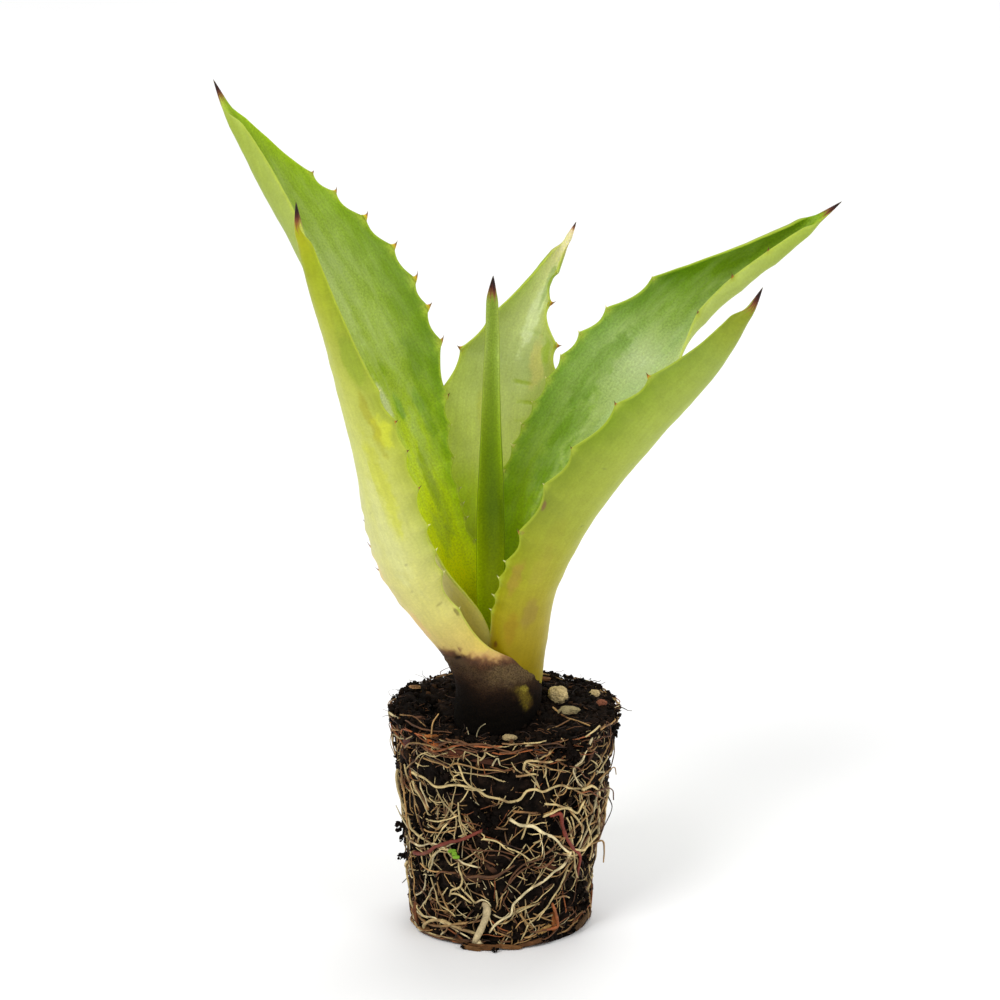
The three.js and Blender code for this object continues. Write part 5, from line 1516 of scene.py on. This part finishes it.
def crumbs(material):
    """Loose crumbs over the ground and the wall of the ball, and black clods that stand out of it."""
    random = np.random.default_rng(CRUMB_SEED)
    heap = Heap()
    for k in range(CRUMB_COUNT):
        on_ground = k % 13 < 7
        if on_ground:
            spot = ground_spot(random)
        else:
            spot = wall_spot(random.uniform(0, 360), BALL_HEIGHT * random.uniform(0.02, 1.0), -0.6)
        size = 0.3 + 1.1 * random.uniform(0, 1) ** 3
        colour = BROWN_CRUMB_COLOUR if random.uniform() < BROWN_CRUMB_SHARE else CRUMB_COLOUR
        stretch = random.uniform(0.5, 1.2, 3)
        lump(heap, spot, size, stretch, random, linear(np.array(colour) * random.uniform(0.4, 1.0)))
    for angle, height, lift, size in CLODS:
        for _ in range(CLOD_CRUMBS):
            spot = wall_spot(angle, height, lift) + random.normal(size=3) * size * 0.42
            lump(heap, spot, size * random.uniform(0.25, 0.6), random.uniform(0.5, 1.2, 3), random,
                 linear(np.array(CLOD_COLOUR) * random.uniform(0.6, 1.2)))
    return finish_piece(heap.build("soil_crumbs", material), "soil")


# ---------- Roots ----------

def smooth_path(points, step):
    """Points along a smooth line through the given points, about `step` apart."""
    points = np.asarray(points, float)
    lengths = np.concatenate([[0], np.cumsum(np.linalg.norm(np.diff(points, axis=0), axis=1))])
    count = max(int(lengths[-1] / step), 3)
    return curve_at(lengths, points, np.linspace(0, lengths[-1], count + 1))


def tube(heap, path, radii, sides, tints):
    """A round strand along a path, with pointed ends and a colour for each point of the path."""
    count = len(path)
    along = unit(np.gradient(path, axis=0))
    side = np.array([0.0, 0.0, 1.0]) if abs(along[0][2]) < 0.8 else np.array([1.0, 0.0, 0.0])
    frames = np.zeros((count, 2, 3))
    for i in range(count):
        side = side - side.dot(along[i]) * along[i]
        side = side / max(np.linalg.norm(side), 1e-9)
        frames[i] = side, np.cross(along[i], side)
    turn = 2 * np.pi * np.arange(sides) / sides
    cosine, sine = np.cos(turn)[None, :, None], np.sin(turn)[None, :, None]
    ring = cosine * frames[:, None, 0] + sine * frames[:, None, 1]
    points = (path[:, None] + ring * np.asarray(radii)[:, None, None]).reshape(-1, 3)
    ends = np.stack([path[0] - along[0] * radii[0], path[-1] + along[-1] * radii[-1]])
    caps = fan(0, sides, count * sides, inwards=True) + fan((count - 1) * sides, sides, count * sides + 1)
    heap.add(np.concatenate([points, ends]), grid_quads(count, sides), caps,
             np.concatenate([tints.repeat(sides, 0), tints[[0, -1]]]))


def root_tints(path, colour, random):
    """The colours along a root: its own, with darker and dirtier stretches."""
    own = np.array(ROOT_COLOURS[colour], float) * random.uniform(0.85, 1.12)
    dirty = np.array(ROOT_COLOURS["brown"], float)
    shift = random.uniform(0, 100)
    share = 0.75 * smooth(0.15, 0.75, noise(path + shift, 7.0, 67) + 0.5 * noise(path + shift, 2.4, 68))
    bright = 1 + 0.14 * noise(path + shift, 3.0, 69)
    return linear(np.clip((own * (1 - share[:, None]) + dirty * share[:, None]) * bright[:, None], 0, 255))


def strand(heap, path, radius, colour, random, thin=0.75):
    """A knotty root along a path, which thins towards its end."""
    path = np.asarray(path)
    knots = 0.2 * noise(path, 3.0, 65) + 0.16 * noise(path, 1.2, 66)
    radii = radius * (1 + knots) * np.linspace(1.0, thin, len(path))
    tube(heap, path, radii, 8 if radius > 0.5 else 5, root_tints(path, colour, random))


def wall_strand(heap, route, radius, colour, random, lift=0.2, dive=1.6):
    """A root that wanders over the wall along a route of [angle, height], and dives into it at its ends."""
    route = np.asarray(route, float)
    path = smooth_path(polar(route[:, 0], wall_radius(route[:, 0], route[:, 1]), route[:, 1]), 1.1)
    shift = random.uniform(0, 100)
    path = path + 0.22 * wobble(path + shift, 4.2, 60)
    path = path + 0.12 * wobble(path + shift, 1.8, 70)
    angle = np.degrees(np.arctan2(path[:, 1], path[:, 0]))
    height = np.clip(path[:, 2], 0.7 + radius, BALL_HEIGHT - 0.5)
    out = wall_radius(angle, height) + lift + 0.7 * noise(path + shift, 6.0, 63)
    far = np.linspace(0, 1, len(path))
    out -= dive * (smooth(0.8, 1.0, far) + smooth(0.8, 1.0, 1 - far))
    path = polar(angle, out, 0.0)
    path[:, 2] = height
    strand(heap, path, radius, colour, random)


ROOT_SEED = 11
DRAWN_STEP = 3  # roots drawn at random bend anew after each step of this length
DRAWN_RADIUS = 36  # about the radius of the wall
GENTLE_BEND = 8
SHARP_BEND = 38
SHARP_SHARE = 0.18  # of the steps
SIDE_ROOT_SHARE = 0.45  # of the points of the roots that the photograph shows
SIDE_ROOT_THICKEST = 0.8  # thicker roots have none
BACK_ROOTS = 90
BACK_ROOT_COLOURS = ["straw", "tan", "pale", "straw"]
FINE_ROOTS = 1250
FINE_ROOT_COLOURS = ["straw"] * 5 + ["pale"] * 2 + ["tan"] * 6 + ["brown"] * 5 + ["dark"] * 3 + ["rust"]
LEVEL_ROOTS = 230
LEVEL_ROOT_COLOURS = ["brown", "tan", "brown", "dark", "rust"]
GROUND_HAIRS = 420
GROUND_HAIR_STEP = 1.3
GROUND_HAIR_COLOURS = ["dark", "dark", "dark", "dark", "brown"]


def drawn_route(random, reach, angle, height, heading):
    """A wandering route of [angle, height] on the wall, drawn at random."""
    route = [[angle, height]]
    for _ in range(max(int(reach / DRAWN_STEP), 2)):
        heading += random.normal() * (SHARP_BEND if random.uniform() < SHARP_SHARE else GENTLE_BEND)
        angle += math.degrees(DRAWN_STEP * math.cos(math.radians(heading)) / DRAWN_RADIUS)
        rise = DRAWN_STEP * math.sin(math.radians(heading))
        height = float(np.clip(height + rise, 0.6, BALL_HEIGHT - 2))
        route.append([angle, height])
    return route


def root_net(material):
    """The roots: those seen in the photograph, side roots from them, and a mat of others drawn at random."""
    random = np.random.default_rng(ROOT_SEED)
    heap = Heap()
    for radius, colour, route in WALL_ROOTS:
        wall_strand(heap, route, radius, colour, random, lift=0.5 * radius + 0.2, dive=0.8)
        for angle, height in route[1:-1]:
            if random.uniform() < SIDE_ROOT_SHARE and radius < SIDE_ROOT_THICKEST:
                side = drawn_route(random, random.uniform(4, 11), angle, height, random.uniform(0, 360))
                wall_strand(heap, side, random.uniform(0.16, 0.3), "straw", random)
    for _ in range(BACK_ROOTS):
        route = drawn_route(random, random.uniform(20, 55), random.uniform(-40, 200), random.uniform(3, 76),
                            random.uniform(0, 360))
        wall_strand(heap, route, random.uniform(0.3, 0.55), random.choice(BACK_ROOT_COLOURS), random)
    for _ in range(FINE_ROOTS):
        height = BALL_HEIGHT * random.uniform(0.01, 0.95)
        route = drawn_route(random, random.uniform(5, 24), random.uniform(0, 360), height,
                            random.uniform(0, 360))
        wall_strand(heap, route, random.uniform(0.11, 0.27), random.choice(FINE_ROOT_COLOURS), random,
                    lift=random.uniform(-1.5, 0.2))
    for _ in range(LEVEL_ROOTS):
        height = random.choice([random.uniform(0.5, 6), random.uniform(70, 78)])
        route = drawn_route(random, random.uniform(8, 26), random.uniform(0, 360), height,
                            random.choice([0, 180]) + random.normal() * 14)
        wall_strand(heap, route, random.uniform(0.15, 0.34), random.choice(LEVEL_ROOT_COLOURS), random,
                    lift=random.uniform(-0.4, 0.7))
    for radius, colour, route in LOOSE_ROOTS:
        spots = np.array([wall_spot(angle, height, lift) for angle, height, lift in route])
        strand(heap, smooth_path(spots, 0.8), radius, colour, random, 0.6)
    for radius, colour, route in GROUND_ROOTS:
        spots = np.array(route, float)
        spots[:, 2] += ground_height(spots[:, 0], spots[:, 1])
        path = smooth_path(spots, 0.8)
        strand(heap, path + 0.2 * wobble(path, 3.0, 80), radius, colour, random)
    for _ in range(GROUND_HAIRS):
        spot = ground_spot(random, 0.16)
        heading = random.uniform(0, 2 * math.pi)
        bend = random.normal() * 0.5
        points = [spot + [0, 0, -0.3]]
        for step in range(random.integers(2, 6)):
            turn = heading + bend * step
            onward = [math.cos(turn) * GROUND_HAIR_STEP, math.sin(turn) * GROUND_HAIR_STEP,
                      random.uniform(-0.3, 0.75)]
            points.append(points[-1] + onward)
        strand(heap, smooth_path(points, 0.8), random.uniform(0.09, 0.2), random.choice(GROUND_HAIR_COLOURS),
               random, 0.5)
    return finish_piece(heap.build("root_net", material), "root", "roots")


# ---------- Stem, stones and bark ----------

# The stump's outline as (radius, height), up from the foot that stands in the soil.
STUMP_OUTLINE = [
    (5, 44), (13, 49), (14, 56), (NECK_RADIUS - 0.3, 63), (NECK_RADIUS - 0.7, 68), (NECK_RADIUS - 0.3, 72),
    (NECK_RADIUS - 0.7, 76.4), (NECK_RADIUS - 1.4, 77), (8, 78), (5.2, 80), (4.6, 94.5), (2, 95.5),
]
STUMP_AROUND = 160
STUMP_ROWS = 90
STUMP_COLOURS = [(-0.6, (26, 18, 13)), (0.2, (52, 36, 26)), (0.7, (128, 118, 60))]


def stem_stump(material):
    around = STUMP_AROUND
    turn = np.arange(around) * 360 / around
    steps = [math.dist(a, b) for a, b in zip(STUMP_OUTLINE, STUMP_OUTLINE[1:])]
    lengths = np.concatenate([[0], np.cumsum(steps)])
    places = np.linspace(0, lengths[-1], STUMP_ROWS)
    line = np.stack([np.interp(places, lengths, column) for column in zip(*STUMP_OUTLINE)], 1)
    points = np.stack([polar(turn, np.full(around, radius), height) for radius, height in line])
    out = unit(points * [1, 1, 0])
    points = points + out * (0.35 * noise(points, 5.0, 71) + 0.2 * noise(points, 1.5, 72))[..., None]
    points[..., 0] += NECK_X
    heap = Heap()
    tint = linear(colour_steps(STUMP_COLOURS, noise(points, 8.0, 73)))
    heap.add(points.reshape(-1, 3), grid_quads(len(points), around), tint=tint.reshape(-1, 3))
    return finish_piece(heap.build("stem_stump", material), "stem", "stem")


def pebble(node, colour, slot, material, seed):
    """A rough stone in the place of its CAD node."""
    low, high = (np.array(corner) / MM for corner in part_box(node))
    ball, tris = BALLS[4]
    lumps = 1 + 0.2 * layered(ball + seed, 0.9, 3, seed) - 0.09 * cells(ball + seed, 0.4, seed)
    points = ball * lumps[:, None]
    points = stretched(points, low, high)
    heap = Heap()
    heap.add(points, tris=tris, tint=mottled(colour, points, 0.2, 1.2, seed))
    return finish_piece(heap.build(f"{node}_rough", material), slot, node)


def chip(points, seed):
    """A ball of points, flattened and split into a ragged flake of bark, in a box from -1 to 1."""
    flat = np.sign(points) * np.abs(points) ** 0.6
    flat = flat * (1 + 0.24 * layered(points * [0.4, 1, 1] + seed, 0.5, 3, seed))[:, None]
    return stretched(flat, -1, 1)


FLAKE_TILT = 24


def splinter(node, colour, material, seed):
    """A ragged flake of bark in the place of its CAD node."""
    low, high = (np.array(corner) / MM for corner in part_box(node))
    ball, tris = BALLS[4]
    sine, cosine = math.sin(math.radians(FLAKE_TILT)), math.cos(math.radians(FLAKE_TILT))
    points = chip(ball, seed) * [1, 1, 0.3]
    points = points @ np.array([[1, 0, 0], [0, cosine, -sine], [0, sine, cosine]])
    points = stretched(points, low, high)
    heap = Heap()
    heap.add(points, tris=tris, tint=mottled(colour, points, 0.25, 1.5, seed))
    return finish_piece(heap.build(f"{node}_flake", material), "bark", node)


def scraps(material):
    """Scraps of bark that are caught in the wall, at the foot and below the rim."""
    heap = Heap()
    ball, tris = BALLS[3]
    for seed, (angle, height, lift, long, wide, turn, colour) in enumerate(SCRAPS):
        middle = wall_spot(angle, height, lift)
        out = polar(np.array(float(angle)), 1.0, 0.0)
        level = np.array([-out[1], out[0], 0.0])
        up = np.array([0.0, 0.0, 1.0])
        lean = math.radians(turn)
        grain = level * math.cos(lean) + up * math.sin(lean)
        cross = up * math.cos(lean) - level * math.sin(lean)
        flake = chip(ball, seed) * [long, wide, 0.45]
        bow = 0.03 * flake[:, :1] ** 2
        points = middle + flake[:, :1] * grain + flake[:, 1:2] * cross + (flake[:, 2:] - bow) * out
        points[:, 2] = np.maximum(points[:, 2], 0.03)
        heap.add(points, tris=tris, tint=mottled(colour, points, 0.3, 1.5, seed))
    return finish_piece(heap.build("bark_scraps", material), "bark")


# The shred of fresh green on the wall: (angle, height, half length, half height).
GREEN_FLECKS = [(240.5, 36.5, 1.6, 0.8), (243, 34.6, 1.3, 0.7), (242, 35.6, 1.0, 0.9)]
GREEN_COLOUR = (116, 156, 44)
GREEN_SEED = 40


def green_fleck(material):
    heap = Heap()
    ball, tris = BALLS[3]
    for number, (angle, height, long, high) in enumerate(GREEN_FLECKS):
        middle = wall_spot(angle, height, 1.2)
        flake = chip(ball, number + GREEN_SEED) * [long, 0.3, high]
        heap.add(middle + flake, tris=tris, tint=linear(GREEN_COLOUR))
    return finish_piece(heap.build("green_fleck", material), "root")


# Each stone's colour, material slot and seed, and each flake of bark's colour and seed.
PEBBLES = {
    "pumice_large": ((200, 178, 128), "pumice", 3),
    "pumice_flat": ((150, 136, 98), "pumice", 5),
    "pumice_small": ((200, 176, 128), "pumice", 8),
    "pumice_rim": ((166, 146, 106), "pumice", 13),
    "pumice_back": ((200, 184, 140), "pumice", 21),
    "grit_red": ((134, 82, 60), "red_grit", 34),
}
FLAKES = {
    "bark_chip_left": ((160, 122, 84), 3),
    "bark_chip_rim": ((92, 62, 44), 5),
    "bark_chip_front": ((166, 104, 54), 8),
    "bark_chip_back": ((112, 76, 48), 13),
}


# ---------- Studio ----------

def camera():
    data = bpy.data.cameras.new("camera")
    data.lens = CAMERA_LENS
    data.sensor_width = SENSOR_WIDTH
    data.clip_end = 50
    eye = bpy.data.objects.new("camera", data)
    eye.location = [k * MM for k in CAMERA_PLACE]
    eye.rotation_euler = (math.radians(90 - CAMERA_DOWN), 0, 0)
    bpy.context.scene.collection.objects.link(eye)
    bpy.context.scene.camera = eye


LAMP_AIM = (0, 0, 0.15)  # in metres, as the lamps' places are
FLOOR_REACH = 40  # in metres too


def softbox(name, place, size, power):
    """A round lamp that looks at the middle of the plant: place and size in metres, power in watts."""
    data = bpy.data.lights.new(name, "AREA")
    data.shape = "DISK"
    data.size = size
    data.energy = power
    lamp = bpy.data.objects.new(name, data)
    lamp.location = place
    aim = np.array(LAMP_AIM) - np.array(place)
    yaw = math.atan2(aim[1], aim[0])
    fall = math.atan2(-aim[2], math.hypot(aim[0], aim[1]))
    lamp.rotation_euler = (math.pi / 2 - fall, 0, yaw - math.pi / 2)
    bpy.context.scene.collection.objects.link(lamp)


def studio():
    world = bpy.data.worlds.new("studio")
    world.use_nodes = True
    background = world.node_tree.nodes["Background"]
    background.inputs["Color"].default_value = (1, 1, 1, 1)
    background.inputs["Strength"].default_value = 0.62
    bpy.context.scene.world = world
    bpy.context.scene.view_settings.view_transform = "Standard"
    softbox("key", (-1.6, -2.2, 2.6), 1.6, 62)
    softbox("fill", (2.4, -1.8, 1.6), 2.0, 26)
    softbox("top", (0.3, 1.6, 3.0), 2.0, 40)
    m = Nodes("floor")
    colour = m.mix(m.spread(m.noise(m.place(), 400.0), 0.3, 0.7), (0.9, 0.9, 0.9), (0.92, 0.92, 0.92))
    m.join(colour, m.shader.inputs["Base Color"])
    m.shader.inputs["Roughness"].default_value = 0.9
    mesh = bpy.data.meshes.new("floor")
    corners = [(x * FLOOR_REACH, y * FLOOR_REACH, 0) for x, y in ((-1, -1), (1, -1), (1, 1), (-1, 1))]
    mesh.from_pydata(corners, [], [(0, 1, 2, 3)])
    mesh.materials.append(m.material)
    floor = bpy.data.objects.new("floor", mesh)
    bpy.context.scene.collection.objects.link(floor)


# ---------- The whole ----------

camera()
studio()

leaf_skin = leaf_material()
for leaf_name, leaf_spec in LEAVES.items():
    Leaf(leaf_name, leaf_spec).build(leaf_skin)

soil = soil_material()
soil_ball(soil)
crumbs(soil)
root_net(root_material())
stem_stump(stem_material())
stone = stone_material()
for pebble_node, (pebble_colour, pebble_slot, pebble_seed) in PEBBLES.items():
    pebble(pebble_node, pebble_colour, pebble_slot, stone, pebble_seed)
bark = bark_material()
scraps(bark)
green_fleck(bark)
for flake_node, (flake_colour, flake_seed) in FLAKES.items():
    splinter(flake_node, flake_colour, bark, flake_seed)
